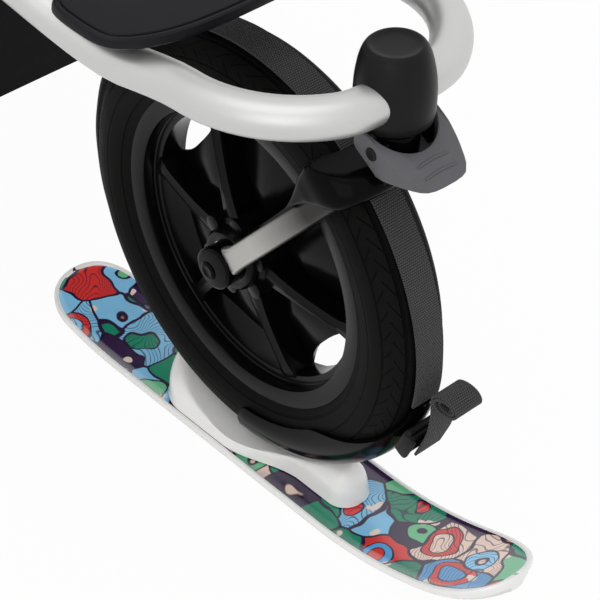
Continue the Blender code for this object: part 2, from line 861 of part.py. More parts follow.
def cheek_trim_outline():
    """What the outer cheeks leave free along the lower edge of each leg."""
    line = [fork_point(along, across) for along, across in (
        (0.10, 0.025), (cheek_start, 0.0033), (0.153, -0.0047), (0.168, -0.0073), (0.19, -0.0080),
        (0.19, -0.05), (0.10, -0.05))]
    return [(point.y, point.z - axle_height) for point in line]


def build_crown(bolt_bore):
    crown = add_part("fork_crown", crown_mesh(), "caster", front_axle_at, "dark_plastic")
    bevel(crown, 0.0022, 1, 50)
    for side in sides.values():
        slot = curve_to_mesh(outline_curve("leg_slot", grown_leg_outline(), leg_half_thickness + seat_gap))
        boolean(crown, add_cutter("leg_slot_%d" % side, slot, "caster",
                                  (side * (leg_inner_x + leg_half_thickness), 0, axle_height), side_turn))
        trim = curve_to_mesh(outline_curve("cheek_trim", cheek_trim_outline(), 0.005))
        boolean(crown, add_cutter("cheek_trim_%d" % side, trim, "caster",
                                  (side * (leg_outer_x + 0.0048), 0, axle_height), side_turn))
    room = add_cutter("wheel_room", rod_mesh("wheel_room", wheel_clearance_radius, -0.06, 0.06, 48),
                      "caster", front_axle_at)
    boolean(crown, room)
    top_trim = add_cutter("crown_top_trim", box_mesh("crown_top_trim", (-0.06, -0.05, crown_top), (0.06, 0.09, 0.25)),
                          "caster", swivel_at)
    boolean(crown, top_trim)
    boss = add_cutter("crown_boss", post_mesh("crown_boss", collar_radius, ear_root - 0.006, crown_top),
                      "caster", swivel_at)
    boolean(crown, boss, "UNION")
    ears_bm = bmesh.new()
    for side in sides.values():
        made = bmesh.ops.create_cube(ears_bm, size=1)["verts"]
        bmesh.ops.scale(ears_bm, vec=(ear_width, 2 * ear_half_depth, ear_top - ear_root), verts=made)
        bmesh.ops.translate(ears_bm, vec=(side * (ear_inner_x + ear_width / 2), -lever_pin_forward,
                                          (ear_top + ear_root) / 2), verts=made)
    ears = add_cutter("crown_ears", mesh_from(ears_bm, "crown_ears"), "caster", swivel_at)
    boolean(crown, ears, "UNION")
    pin_room = add_cutter("swivel_pin_bore", post_mesh(
        "swivel_pin_bore", swivel_pin_radius + seat_gap, swivel_pin_bottom - seat_gap, swivel_pin_top + seat_gap),
        "caster", swivel_at)
    boolean(crown, pin_room)
    boolean(crown, bolt_bore)
    lever_bore = add_cutter("lever_pin_bore", rod_mesh(
        "lever_pin_bore", lever_pin_radius + seat_gap, -0.04, 0.04, 16), "caster", lever_pin_at)
    boolean(crown, lever_bore)

    add_part("swivel_pin", post_mesh("swivel_pin", swivel_pin_radius, swivel_pin_bottom, swivel_pin_top),
             "caster", swivel_at, "steel")
    add_part("lever_pin", rod_mesh("lever_pin", lever_pin_radius, -lever_pin_half_length,
                                   lever_pin_half_length, 16), "caster", lever_pin_at, "steel")
    gap = collar_top - crown_top
    ring = add_part("swivel_bearing", profile_mesh("swivel_bearing", ring_profile(
        swivel_pin_radius + seat_gap, collar_radius, gap / 2 - seat_gap), True), "caster",
        (0, swivel_y, axle_height + crown_top + gap / 2), "dark_plastic")
    turn_profile(ring, 20)
    boolean(ring, lever_bore)
    return lever_bore


def lever_outline():
    """Top view of the lock lever round the swivel axis: two short arms and a tongue."""
    recess_radius = housing_radius + lever_recess_gap
    rear = 0.012
    tip = lever_tip_y - swivel_y
    waist = -0.013
    right = [(recess_radius, rear), (lever_half_width, rear), (lever_half_width, waist),
             (lever_half_width - 0.0022, tip + 0.020), (lever_tip_half_width + 0.0012, tip + 0.007),
             (lever_tip_half_width - 0.0025, tip + 0.0015), (lever_tip_half_width - 0.007, tip)]
    left = [(-x, y) for x, y in reversed(right)]
    recess = arc((0, 0), recess_radius, 180, 360, 21)
    return right + left + recess[1:-1]


def lever_side_outline():
    """Side view of the lock lever in the wheel's YZ plane."""
    rise = math.tan(lever_slope)
    slope_end = (lever_slope_end_y, lever_tip_top + 0.0002 + rise * (lever_slope_end_y - lever_tip_y))
    down = math.degrees(lever_slope) + 90
    centre = (slope_end[0] - lever_back_radius * math.cos(math.radians(down)),
              slope_end[1] - lever_back_radius * math.sin(math.radians(down)))
    back = arc(centre, lever_back_radius, down, -60, 9)
    front = [(lever_tip_y - 0.001, lever_bottom), (lever_tip_y - 0.001, lever_tip_top - 0.0005)]
    return front + back + [(-0.131, lever_bottom)]


def build_lever(lever_bore):
    low, high = lever_bottom - 0.004, lever_bottom + 0.034
    mesh = curve_to_mesh(outline_curve("lock_lever", lever_outline(), (high - low) / 2))
    lever = add_part("swivel_lock_lever", mesh, "lock_lever", (0, swivel_y, axle_height + (low + high) / 2),
                     "slate_plastic")
    side_view = curve_to_mesh(outline_curve("lever_side", lever_side_outline(), 0.05))
    boolean(lever, add_cutter("lever_side", side_view, "lock_lever", front_axle_at, side_turn), "INTERSECT")
    boolean(lever, lever_bore)


def build_housing():
    shoulder = 0.004
    profile = [(0, housing_top), (housing_top_radius - shoulder, housing_top),
               (housing_top_radius, housing_top - 0.0012), (housing_radius - 0.0045, housing_top - 0.0045),
               (housing_radius - 0.0022, housing_top - 0.012), (housing_radius - 0.0003, housing_top - 0.022),
               (housing_radius, housing_top - 0.030), (housing_radius, housing_bottom + 0.008),
               (housing_radius - 0.0015, housing_bottom + 0.003), (housing_radius - 0.004, housing_bottom),
               (collar_radius, housing_bottom), (collar_radius, collar_top), (0, collar_top)]
    housing = add_part("swivel_housing", profile_mesh("housing", profile, False), "frame", swivel_at, "dark_plastic")
    turn_profile(housing, 20)
    tunnel = tube_curve("tube_room", frame_path(fold_y - 0.012 + seat_gap), frame_tube_radius + seat_gap)
    tube_room = add_cutter("tube_room", curve_to_mesh(tunnel), "frame", (0, 0, 0))
    boolean(housing, tube_room)
    bore = add_cutter("housing_bore", post_mesh("housing_bore", swivel_pin_radius + seat_gap,
                                                collar_top - 0.005, swivel_pin_top + seat_gap), "frame", swivel_at)
    boolean(housing, bore)
    recess = add_cutter("cap_recess", post_mesh("cap_recess", cap_radius + seat_gap,
                                                housing_top - cap_thickness - seat_gap, housing_top + 0.005, 24),
                        "frame", swivel_at)
    boolean(housing, recess)
    add_part("housing_cap", post_mesh("housing_cap", cap_radius, housing_top - cap_thickness, housing_top, 24),
             "frame", swivel_at, "dark_plastic")
    return tube_room


def build_frame_tube():
    curve = tube_curve("front_frame_tube", frame_path(fold_y - 0.012), frame_tube_radius)
    add_part("front_frame_tube", curve_to_mesh(curve), "frame", (0, 0, 0), "satin_aluminium")


def build_footrest():
    """A lens-shaped plate lying on both frame arms."""
    seat_front = loop_point(1, footrest_front_y).z + frame_tube_radius
    seat_rear = loop_point(1, footrest_rear_y).z + frame_tube_radius
    depth = footrest_rear_y - footrest_front_y
    tilt = math.atan2(seat_rear - seat_front, depth)
    count = 11
    xs = [-1 + 2 * k / (count - 1) for k in range(count)]
    front = [(x * footrest_half_width, footrest_front_y + footrest_bow * x ** 4) for x in xs]
    rear = [(x * footrest_half_width, footrest_rear_y - footrest_rear_bow * x ** 4) for x in reversed(xs)]
    middle = (footrest_front_y + footrest_rear_y) / 2
    outline = [(x, y - middle) for x, y in front + rear]
    mesh = curve_to_mesh(outline_curve("footrest", outline, footrest_thickness / 2))
    lift = footrest_thickness / 2 + seat_gap + 0.0016
    height = (seat_front + seat_rear) / 2 + lift / math.cos(tilt)
    plate = add_part("footrest_plate", mesh, "frame", (0, middle, height), "slate_plastic", (tilt, 0, 0))
    bevel(plate, 0.003, 2, 50)


def build_fold_hubs(tube_room):
    pin_end = push_disc_outer_x + seat_gap + fold_pin_head
    pin_start = leg_disc_inner_x + 0.001
    bore = add_cutter("fold_pin_bore", rod_mesh("fold_pin_bore", fold_pin_radius + seat_gap, -0.4, 0.4),
                      "frame", fold_at)
    for side_name, side in sides.items():
        hub_mesh = rod_mesh("fold_hub", fold_hub_radius, side * hub_inner_x, side * hub_outer_x, 26)
        hub = add_part("fold_hub_" + side_name, hub_mesh, "frame", fold_at, "dark_plastic")
        bevel(hub, 0.002, 1)
        boolean(hub, tube_room)
        boolean(hub, bore)
        profile = [(0, pin_end), (fold_pin_head_radius, pin_end),
                   (fold_pin_head_radius, pin_end - fold_pin_head), (fold_pin_radius, pin_end - fold_pin_head),
                   (fold_pin_radius, pin_start), (0, pin_start)]
        turn = (0, side * math.radians(90), 0)
        pin = add_part("fold_pin_" + side_name, profile_mesh("fold_pin", profile, False), "frame",
                       fold_at, "steel", turn)
        turn_profile(pin, 16)
    return bore


def build_rear_legs(bore):
    drop = Vector((0, rear_axle_y - fold_y, axle_height - fold_z))
    beam_room = add_cutter("beam_room", rod_mesh("beam_room", beam_radius + seat_gap, -0.3, 0.3, 24),
                           "rear_legs", rear_axle_at)
    for side_name, side in sides.items():
        x = side * rear_leg_x
        tube = curve_to_mesh(tube_curve("rear_leg", [Vector((x, 0, 0)), Vector((x, 0, 0)) + drop],
                                        rear_tube_radius, 3))
        leg = add_part("rear_leg_" + side_name, tube, "rear_legs", fold_at, "satin_aluminium")
        disc = add_cutter("leg_disc_" + side_name, rod_mesh(
            "leg_disc", leg_disc_radius, side * leg_disc_inner_x, side * leg_disc_outer_x, 24),
            "rear_legs", fold_at)
        boolean(leg, disc, "UNION")
        boolean(leg, bore)
        boolean(leg, beam_room)

    wheel_face = rear_track_half - hub_half_length
    beam_end = wheel_face - beam_end_clearance
    beam = add_part("rear_axle_beam", rod_mesh("rear_beam", beam_radius, -beam_end, beam_end, 24),
                    "rear_legs", rear_axle_at, "steel")
    stub_start = beam_end - 0.030
    stub_bore = add_cutter("stub_bores", stub_bores_mesh(stub_start - seat_gap, beam_end + 0.01),
                           "rear_legs", rear_axle_at)
    boolean(beam, stub_bore)
    shoulder = rear_track_half + hub_half_length + running_gap
    end = shoulder + axle_nut_height
    collar = wheel_face - running_gap
    profile = [(0, end), (axle_nut_radius, end), (axle_nut_radius, shoulder), (axle_radius, shoulder),
               (axle_radius, collar), (axle_nut_radius, collar), (axle_nut_radius, beam_end + seat_gap),
               (axle_radius, beam_end + seat_gap), (axle_radius, stub_start), (0, stub_start)]
    for side_name, side in sides.items():
        turn = (0, side * math.radians(90), 0)
        stub = add_part("rear_axle_" + side_name, profile_mesh("rear_axle", profile, False), "rear_legs",
                        rear_axle_at, "steel", turn)
        turn_profile(stub, 16)


def stub_bores_mesh(start, end):
    bm = bmesh.new()
    for side in sides.values():
        turn = Matrix.Translation((side * (start + end) / 2, 0, 0)) @ Matrix.Rotation(math.radians(90), 4, "Y")
        bmesh.ops.create_cone(bm, cap_ends=True, segments=24, radius1=axle_radius + seat_gap,
                              radius2=axle_radius + seat_gap, depth=end - start, matrix=turn)
    return mesh_from(bm, "stub_bores")


def build_brake_pedal():
    plate = box_mesh("pedal", (-pedal_half_width, 0.010, -pedal_thickness / 2),
                     (pedal_half_width, pedal_reach, pedal_thickness / 2))
    pedal = add_part("brake_pedal", plate, "brake_pedal", rear_axle_at, "slate_plastic")
    bevel(pedal, 0.002, 1)
    collar = add_cutter("pedal_collar", rod_mesh("pedal_collar", pedal_collar_radius, -pedal_half_width * 0.9,
                                                 pedal_half_width * 0.9, 24), "brake_pedal", rear_axle_at)
    boolean(pedal, collar, "UNION")
    room = add_cutter("pedal_bore", rod_mesh("pedal_bore", beam_radius + seat_gap, -0.05, 0.05, 24),
                      "brake_pedal", rear_axle_at)
    boolean(pedal, room)


def build_push_bar(bore):
    for side_name, side in sides.items():
        x = side * push_x
        ends = [push_point(0, x), push_point(push_length, x)]
        tube = curve_to_mesh(tube_curve("push_tube", ends, push_tube_radius, 3))
        push = add_part("push_tube_" + side_name, tube, "push_bar", (0, 0, 0), "satin_aluminium")
        discs = bmesh.new()
        for point, radius in ((fold_at, fold_hub_radius), (handle_at, handle_disc_radius)):
            turn = Matrix.Translation((x, point[1], point[2])) @ Matrix.Rotation(math.radians(90), 4, "Y")
            bmesh.ops.create_cone(discs, cap_ends=True, segments=24, radius1=radius, radius2=radius,
                                  depth=push_disc_width, matrix=turn)
        disc = add_cutter("push_discs_" + side_name, mesh_from(discs, "push_discs"), "push_bar", (0, 0, 0))
        boolean(push, disc, "UNION")
        pin = add_cutter("handle_pin_" + side_name, rod_mesh(
            "handle_pin", handle_pin_radius, side * handle_disc_inner_x, side * push_x, 16),
            "push_bar", handle_at)
        boolean(push, pin, "UNION")
        boolean(push, bore)


def handle_path():
    """The handle's U in the plane of the push bar, from one hinge to the other."""
    reach, corner = push_length + handle_reach, handle_corner_radius
    half = [push_point(push_length, handle_arm_x)]
    for k in range(6):
        angle = math.radians(90) * k / 5
        along = reach - corner + corner * math.sin(angle)
        half.append(push_point(along, handle_arm_x - corner + corner * math.cos(angle)))
    mirrored = [Vector((-p.x, p.y, p.z)) for p in reversed(half)]
    return half + mirrored


def build_handle():
    tube = curve_to_mesh(tube_curve("handle_bar", handle_path(), push_tube_radius, 3))
    bar = add_part("handle_bar", tube, "handle", (0, 0, 0), "satin_aluminium")
    discs = bmesh.new()
    for side in sides.values():
        turn = (Matrix.Translation((side * handle_arm_x, handle_at[1], handle_at[2]))
                @ Matrix.Rotation(math.radians(90), 4, "Y"))
        bmesh.ops.create_cone(discs, cap_ends=True, segments=24, radius1=handle_disc_radius,
                              radius2=handle_disc_radius, depth=handle_disc_width, matrix=turn)
    disc = add_cutter("handle_discs", mesh_from(discs, "handle_discs"), "handle", (0, 0, 0))
    boolean(bar, disc, "UNION")
    bore = add_cutter("handle_pin_bore", rod_mesh("handle_pin_bore", handle_pin_radius + seat_gap,
                                                  -0.3, 0.3, 16), "handle", handle_at)
    boolean(bar, bore)
    profile = ring_profile(push_tube_radius + seat_gap, grip_radius, grip_half_length)
    grip = add_part("handle_grip", profile_mesh("grip", profile, True), "handle",
                    push_point(push_length + handle_reach), "grip_foam", axle_turn)
    turn_profile(grip, 20)


def build_seat(tube_room):
    bar_half = loop_point(1, crossbar_y).x
    bar_at = (0, crossbar_y, crossbar_z)
    bar = add_part("seat_crossbar", rod_mesh("seat_crossbar", crossbar_radius, -bar_half, bar_half),
                   "frame", bar_at, "steel")
    boolean(bar, tube_room)
    tube_half = leg_disc_inner_x - seat_gap
    add_part("recline_tube", rod_mesh("recline_tube", recline_tube_radius, -tube_half, tube_half, 24),
             "frame", fold_at, "steel")

    board = add_part("seat_board", box_mesh("seat_board", (-seat_half_width, seat_front_y, seat_board_bottom),
                                            (seat_half_width, seat_back_y, seat_board_top)),
                     "frame", (0, 0, 0), "dark_plastic")
    ears = bmesh.new()
    for side in sides.values():
        made = bmesh.ops.create_cube(ears, size=1)["verts"]
        low, high = seat_board_bottom + 0.001, fold_z + knuckle_radius + 0.003
        front, rear = seat_back_y - 0.012, fold_y + knuckle_radius + 0.003
        bmesh.ops.scale(ears, vec=(seat_ear_thickness, rear - front, high - low), verts=made)
        middle = side * (seat_half_width - seat_ear_thickness / 2 - 0.0005)
        bmesh.ops.translate(ears, vec=(middle, (front + rear) / 2, (low + high) / 2), verts=made)
    ear = add_cutter("seat_ears", mesh_from(ears, "seat_ears"), "frame", (0, 0, 0))
    boolean(board, ear, "UNION")
    bore = add_cutter("recline_bore", rod_mesh("recline_bore", recline_tube_radius + seat_gap, -0.3, 0.3, 24),
                      "frame", fold_at)
    boolean(board, bore)

    cushion = add_part("seat_cushion", box_mesh("cushion", (-cushion_half_width, cushion_front_y, cushion_bottom),
                                                (cushion_half_width, cushion_back_y, cushion_top)),
                       "frame", (0, 0, 0), "fabric")
    bevel(cushion, 0.010, 3)

    strap_back = cushion_front_y + 0.020
    strap_top = cushion_top + seat_gap + 0.0025
    add_part("crotch_strap", box_mesh("crotch_strap", (-crotch_strap_half_width, strap_back,
                                                       cushion_top + seat_gap),
                                      (crotch_strap_half_width, strap_back + crotch_strap_length, strap_top)),
             "frame", (0, 0, 0), "webbing")
    width, length, height = harness_buckle_size
    buckle_low = (-width / 2, strap_back + crotch_strap_length + seat_gap, cushion_top + seat_gap)
    buckle_high = (width / 2, strap_back + crotch_strap_length + seat_gap + length,
                   cushion_top + seat_gap + height)
    bevel(add_part("harness_buckle", box_mesh("harness_buckle", buckle_low, buckle_high), "frame",
                   (0, 0, 0), "dark_plastic"), 0.003)
    return bore


def build_backrest(bore):
    lean = (back_angle - math.radians(90), 0, 0)
    half = back_board_thickness / 2
    board = add_part("backrest_board", box_mesh("backrest_board", (-back_half_width, -half, 0.006),
                                                (back_half_width, half, back_length)),
                     "backrest", fold_at, "dark_plastic", lean)
    knuckle = add_cutter("backrest_knuckle", rod_mesh("backrest_knuckle", knuckle_radius, -back_half_width,
                                                      back_half_width, 24), "backrest", fold_at)
    boolean(board, knuckle, "UNION")
    boolean(board, bore)

    clear = knuckle_radius + 0.0005
    front = half + seat_gap + pad_thickness
    shelf = 0.016
    outline = [(-front, -pad_drop), (-clear, -pad_drop), (-clear, shelf), (-half - seat_gap, shelf + 0.006),
               (-half - seat_gap, back_length), (-front + 0.006, back_length), (-front, back_length - 0.012)]
    mesh = curve_to_mesh(outline_curve("backrest_pad", outline, back_half_width))
    rotation = (Matrix.Rotation(lean[0], 4, "X") @ Matrix.Rotation(side_turn[2], 4, "Z")
                @ Matrix.Rotation(side_turn[0], 4, "X")).to_euler()
    bevel(add_part("backrest_pad", mesh, "backrest", fold_at, "fabric", rotation), 0.005, 2, 40)


def build_basket():
    """An open bag of cloth with four tabs that hang it under the seat."""
    bm = bmesh.new()
    bmesh.ops.create_cube(bm, size=1)
    for vert in bm.verts:
        top = vert.co.z > 0
        inset = 0 if top else basket_taper
        x = math.copysign(basket_half_width - inset, vert.co.x)
        y = basket_rear_y - inset if vert.co.y > 0 else basket_front_y + (basket_taper / 2 if top else 0)
        vert.co = (x, y, basket_top if top else basket_bottom)
    lid = [f for f in bm.faces if f.normal.z > 0.9 or f.calc_center_median().z > basket_top - 1e-6]
    bmesh.ops.delete(bm, geom=lid, context="FACES_ONLY")
    basket = add_part("basket", mesh_from(bm, "basket"), "frame", (0, 0, 0), "fabric")
    shell = basket.modifiers.new("cloth_thickness", "SOLIDIFY")
    shell.thickness = basket_wall
    shell.offset = -1

    front = basket_front_y + basket_taper / 2
    inner, thick = basket_wall * 0.3, basket_wall * 0.8
    low = basket_top - 0.010
    bar_low = crossbar_z - crossbar_radius - seat_gap
    board_low = seat_board_bottom - seat_gap
    tabs = (
        [(front + inner, low), (front + inner + thick, low), (crossbar_y + thick, bar_low), (crossbar_y, bar_low)],
        [(basket_rear_y - inner - thick, low), (basket_rear_y - inner, low),
         (seat_back_y - 0.010, board_low), (seat_back_y - 0.010 - thick, board_low)],
    )
    for k, tab in enumerate(tabs):
        for side_name, side in sides.items():
            mesh = curve_to_mesh(outline_curve("basket_tab", tab, basket_tab_half_width))
            cutter = add_cutter("basket_tab_%d_%s" % (k, side_name), mesh, "frame",
                                (side * basket_tab_x, 0, 0), side_turn)
            boolean(basket, cutter, "UNION")


build_wheel("front", "front_wheel", front_axle_at)
build_ski("front", "front_wheel", front_axle_at)
build_cradle("front", "front_wheel", front_axle_at)
build_strap("front", "front_wheel", front_axle_at)
build_strap_roll()
build_bearings()
for side_name, side in sides.items():
    copy_wheel("front", "rear_" + side_name, "rear_wheel_" + side_name,
               (side * rear_track_half, rear_axle_y, axle_height))
crown_bore = build_fork()
lever_room = build_crown(crown_bore)
build_lever(lever_room)
frame_room = build_housing()
build_frame_tube()
build_footrest()
fold_bore = build_fold_hubs(frame_room)
build_rear_legs(fold_bore)
build_brake_pedal()
build_push_bar(fold_bore)
build_handle()
recline_bore = build_seat(frame_room)
build_backrest(recline_bore)
build_basket()
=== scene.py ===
# Looks of a stroller on skis: finishes, tyres, webbing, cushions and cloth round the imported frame
import math
import bmesh
import bpy
from mathutils import Matrix, Vector
from mathutils.bvhtree import BVHTree


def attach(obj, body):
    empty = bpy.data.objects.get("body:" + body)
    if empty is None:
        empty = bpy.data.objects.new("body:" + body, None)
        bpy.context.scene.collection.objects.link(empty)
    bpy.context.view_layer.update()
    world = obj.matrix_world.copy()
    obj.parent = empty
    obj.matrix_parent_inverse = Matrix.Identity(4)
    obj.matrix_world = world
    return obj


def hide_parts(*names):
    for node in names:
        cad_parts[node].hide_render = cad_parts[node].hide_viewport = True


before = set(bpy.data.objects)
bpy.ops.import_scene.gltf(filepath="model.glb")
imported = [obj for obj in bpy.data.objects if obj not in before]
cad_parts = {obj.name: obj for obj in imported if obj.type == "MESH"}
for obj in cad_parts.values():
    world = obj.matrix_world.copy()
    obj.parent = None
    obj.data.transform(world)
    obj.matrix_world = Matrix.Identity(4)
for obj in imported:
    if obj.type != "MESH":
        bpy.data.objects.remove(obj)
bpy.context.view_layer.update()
print("frame loaded:", len(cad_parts), "nodes")

# axle centres and the main lines of the frame, in metres
axleHeight = 0.177
frontAxle = Vector((0, -0.3215, axleHeight))
rearAxle = Vector((0, 0.3385, axleHeight))
rearHalfTrack = 0.27
swivel = Vector((0, -0.4395, axleHeight))
foldPoint = Vector((0, 0.0785, 0.56831))
pushAngle = math.radians(50.5)
backAngle = math.radians(65)
sides = (("left", -1), ("right", 1))
atOrigin = (0, 0, 0)
alongX, alongZ = Vector((1, 0, 0)), Vector((0, 0, 1))


# camera at the photograph's viewing angle
cameraSet = {"place": (-0.67925, -1.13406, 1.00391), "lens": 127.05, "sensor": 36, "reach": 50,
             "azimuth": -41.17, "elevation": 39.59, "roll": -0.87}


def link(thing):
    bpy.context.scene.collection.objects.link(thing)
    return thing


def addCamera(values):
    azimuth, elevation, roll = (math.radians(values[k]) for k in ("azimuth", "elevation", "roll"))
    back = Vector((math.sin(azimuth) * math.cos(elevation), -math.cos(azimuth) * math.cos(elevation),
                   math.sin(elevation)))
    level = Vector((math.cos(azimuth), math.sin(azimuth), 0))
    rise = back.cross(level)
    right = level * math.cos(roll) + rise * math.sin(roll)
    up = rise * math.cos(roll) - level * math.sin(roll)
    data = bpy.data.cameras.new("camera")
    data.lens, data.sensor_width, data.clip_end = values["lens"], values["sensor"], values["reach"]
    camera = link(bpy.data.objects.new("camera", data))
    matrix = Matrix((right, up, back)).transposed().to_4x4()
    matrix.translation = Vector(values["place"])
    camera.matrix_world = matrix
    bpy.context.scene.camera = camera


addCamera(cameraSet)


# shader maths written as expressions: a wire is one socket of a node tree
class Wire:
    def __init__(self, tree, socket):
        self.tree, self.socket = tree, socket

    def op(self, operation, *others, swap=False):
        made = self.tree.nodes.new("ShaderNodeMath")
        made.operation = operation
        values = [self, *others]
        for k, value in enumerate(reversed(values) if swap else values):
            plug(self.tree, made.inputs[k], value)
        return Wire(self.tree, made.outputs[0])

    def __add__(self, other):
        return self.op("ADD", other)

    def __sub__(self, other):
        return self.op("SUBTRACT", other)

    def __rsub__(self, other):
        return self.op("SUBTRACT", other, swap=True)

    def __mul__(self, other):
        return self.op("MULTIPLY", other)

    def __truediv__(self, other):
        return self.op("DIVIDE", other)

    __radd__, __rmul__ = __add__, __mul__

    def sin(self):
        return self.op("SINE")

    def abs(self):
        return self.op("ABSOLUTE")

    def frac(self):
        return self.op("FRACT")

    def floor(self):
        return self.op("FLOOR")

    def most(self, limit):
        return self.op("MINIMUM", limit)

    def below(self, edge, soft):  # 1 under the edge, 0 above it, soft between
        return ((edge - self) / soft + 0.5).op("MAXIMUM", 0).most(1)

    def above(self, edge, soft):
        return 1 - self.below(edge, soft)


def plug(tree, socket, value):
    if isinstance(value, Wire):
        tree.links.new(value.socket, socket)
    elif isinstance(value, (int, float)) or socket.type != "RGBA":
        socket.default_value = value
    else:
        socket.default_value = (*value[:3], 1)


class Finish:
    def __init__(self, name, colour, rough, metal=0.0, coat=0.0, sheen=0.0, shine=0.5):
        self.material = bpy.data.materials.new(name)
        self.material.use_nodes = True
        self.tree = self.material.node_tree
        self.shader = self.tree.nodes["Principled BSDF"]
        for socket, value in (("Base Color", colour), ("Roughness", rough), ("Metallic", metal),
                              ("Coat Weight", coat), ("Coat Roughness", 0.12), ("Sheen Weight", sheen),
                              ("Specular IOR Level", shine)):
            self.set(socket, value)

    def set(self, name, value):
        plug(self.tree, self.shader.inputs[name], value)

    def node(self, kind, settings=None, inputs=None, out=0):
        made = self.tree.nodes.new(kind)
        for key, value in (settings or {}).items():
            if key == "stops":
                ramp = made.color_ramp
                while len(ramp.elements) < len(value):
                    ramp.elements.new(1)
                for element, (place, colour) in zip(ramp.elements, value):
                    element.position, element.color = place, (*colour, 1)
            elif key == "steps":
                made.color_ramp.interpolation = value
            else:
                setattr(made, key, value)
        for key, value in (inputs or {}).items():
            plug(self.tree, made.inputs[key], value)
        return Wire(self.tree, made.outputs[out])

    def place(self):
        return self.node("ShaderNodeTexCoord", out="Object")

    def split(self, kind, value):  # every output of a node that takes a vector or a colour apart
        made = self.node(kind, inputs={0: value}).socket.node
        return [Wire(self.tree, part) for part in made.outputs]

    def uv(self):
        return self.split("ShaderNodeSeparateXYZ", self.node("ShaderNodeTexCoord", out="UV"))[:2]

    def noise(self, scale, detail, vector=None, out="Fac"):
        return self.node("ShaderNodeTexNoise", inputs={"Vector": vector or self.place(), "Scale": scale,
                                                       "Detail": detail}, out=out)

    def mix(self, factor, first, second):
        made = self.tree.nodes.new("ShaderNodeMix")
        made.data_type = "RGBA"
        for socket, value in (("Factor", factor), ("A", first), ("B", second)):
            plug(self.tree, made.inputs[socket], value)
        return Wire(self.tree, made.outputs["Result"])

    def bump(self, height, distance, strength):
        self.set("Normal", self.node("ShaderNodeBump", inputs={"Strength": strength, "Distance": distance,
                                                               "Height": height}))

    def grain(self, scale, distance, spread):  # fine and broad unevenness of the surface
        fine, broad = self.noise(scale, 3), self.noise(scale * 0.03, 2)
        base = self.shader.inputs["Roughness"].default_value
        self.set("Roughness", base - spread + (fine * 0.6 + broad * 0.4) * spread * 2)
        self.bump(fine, distance, 0.6)
        return broad

    def weave(self, pitch, distance, dark, light):  # each row of threads is half a thread on from the last
        u, v = self.uv()
        row = (u / pitch).floor()
        over = ((u / pitch).frac() * math.pi).sin()
        under = ((v / pitch + row * 0.5).frac() * math.pi).sin()
        thread = over * under
        fuzz = self.noise(2600, 2)
        self.set("Base Color", self.mix(thread * 0.8 + fuzz * 0.3, dark, light))
        self.bump(thread + fuzz * 0.25, distance, 0.9)


# each finish: its name, colour and roughness, what differs on the shader, and its grain, as scale, depth
# and spread, or its weave, as pitch, depth, dark and light
finishSet = {
    "satin": ("satinAluminium", (0.61, 0.61, 0.598), 0.40, {"metal": 0.8}, {"grain": (900, 0.00004, 0.04)}),
    "dark": ("darkPlastic", (0.009, 0.009, 0.0098), 0.36, {"shine": 0.11},
             {"grain": (1400, 0.00006, 0.06), "tint": 0.12}),
    "slate": ("slatePlastic", (0.098, 0.098, 0.108), 0.46, {"shine": 0.35},
              {"grain": (1600, 0.00008, 0.06), "tint": 0.12}),
    "footrest": ("footrestPlastic", (0.0075, 0.007, 0.009), 0.32, {"shine": 0.16},
                 {"grain": (1500, 0.0001, 0.07), "tint": 0.12}),
    "gloss": ("glossBlack", (0.002, 0.002, 0.002), 0.16, {"shine": 0.05}, {"grain": (500, 0.00002, 0.04)}),
    "rim": ("rimPlastic", (0.0025, 0.0025, 0.0028), 0.24, {"shine": 0.11}, {"grain": (900, 0.00005, 0.06)}),
    "white": ("whitePlastic", (0.88, 0.875, 0.86), 0.24, {"coat": 0.25},
              {"grain": (300, 0.00003, 0.04), "tint": 0.02}),
    "leg": ("forkLegMetal", (0.70, 0.69, 0.67), 0.34, {"metal": 0.8}, {"grain": (900, 0.00004, 0.04)}),
    "steel": ("zincSteel", (0.55, 0.55, 0.56), 0.30, {"metal": 1.0}, {"grain": (700, 0.00003, 0.08)}),
    "foam": ("gripFoam", (0.014, 0.014, 0.014), 0.85, {"shine": 0.3}, {"grain": (2200, 0.0003, 0.06)}),
    "webbing": ("webbing", (0.02, 0.02, 0.02), 0.78, {"sheen": 0.08, "shine": 0.15},
                {"weave": (0.0016, 0.0005, (0.003, 0.003, 0.003), (0.090, 0.090, 0.093))}),
    "cloth": ("blackCloth", (0.02, 0.02, 0.02), 0.88, {"sheen": 0.03, "shine": 0.12},
              {"weave": (0.0009, 0.0002, (0.004, 0.004, 0.0045), (0.015, 0.015, 0.0165))}),
    "padCloth": ("padCloth", (0.03, 0.03, 0.034), 0.9, {"sheen": 0.15},
                 {"knit": (620, 0.0005, (0.044, 0.044, 0.049), (0.012, 0.012, 0.014))}),
    "thread": ("thread", (0.10, 0.10, 0.10), 0.7, {}, {"grain": (3000, 0.0001, 0.05)}),
}


def plainFinish(name, colour, rough, shader, surface):
    made = Finish(name, colour, rough, **shader)
    if "grain" in surface:
        broad = made.grain(*surface["grain"])
        if "tint" in surface:
            made.set("Base Color", made.mix(broad, *(tuple(c * (1 + tint) for c in colour)
                                                     for tint in (-surface["tint"], surface["tint"]))))
    elif "weave" in surface:
        made.weave(*surface["weave"])
    else:
        scale, depth, first, second = surface["knit"]
        knit = made.node("ShaderNodeTexVoronoi", inputs={"Vector": made.place(), "Scale": scale}, out="Distance")
        made.set("Base Color", made.mix(knit, first, second))
        made.bump(knit, depth, 0.8)
    return made


# painted shade: the fork legs' colour darkens towards the crown, for the dark they reflect there; along is the leg's
# direction, and start is the axle's place on it
legShadeSet = {"along": (-0.6794, 0.7338), "start": 0.3483, "edge": 0.092, "soft": 0.070,
               "bright": (0.44, 0.43, 0.41), "deep": (0.016, 0.014, 0.013)}


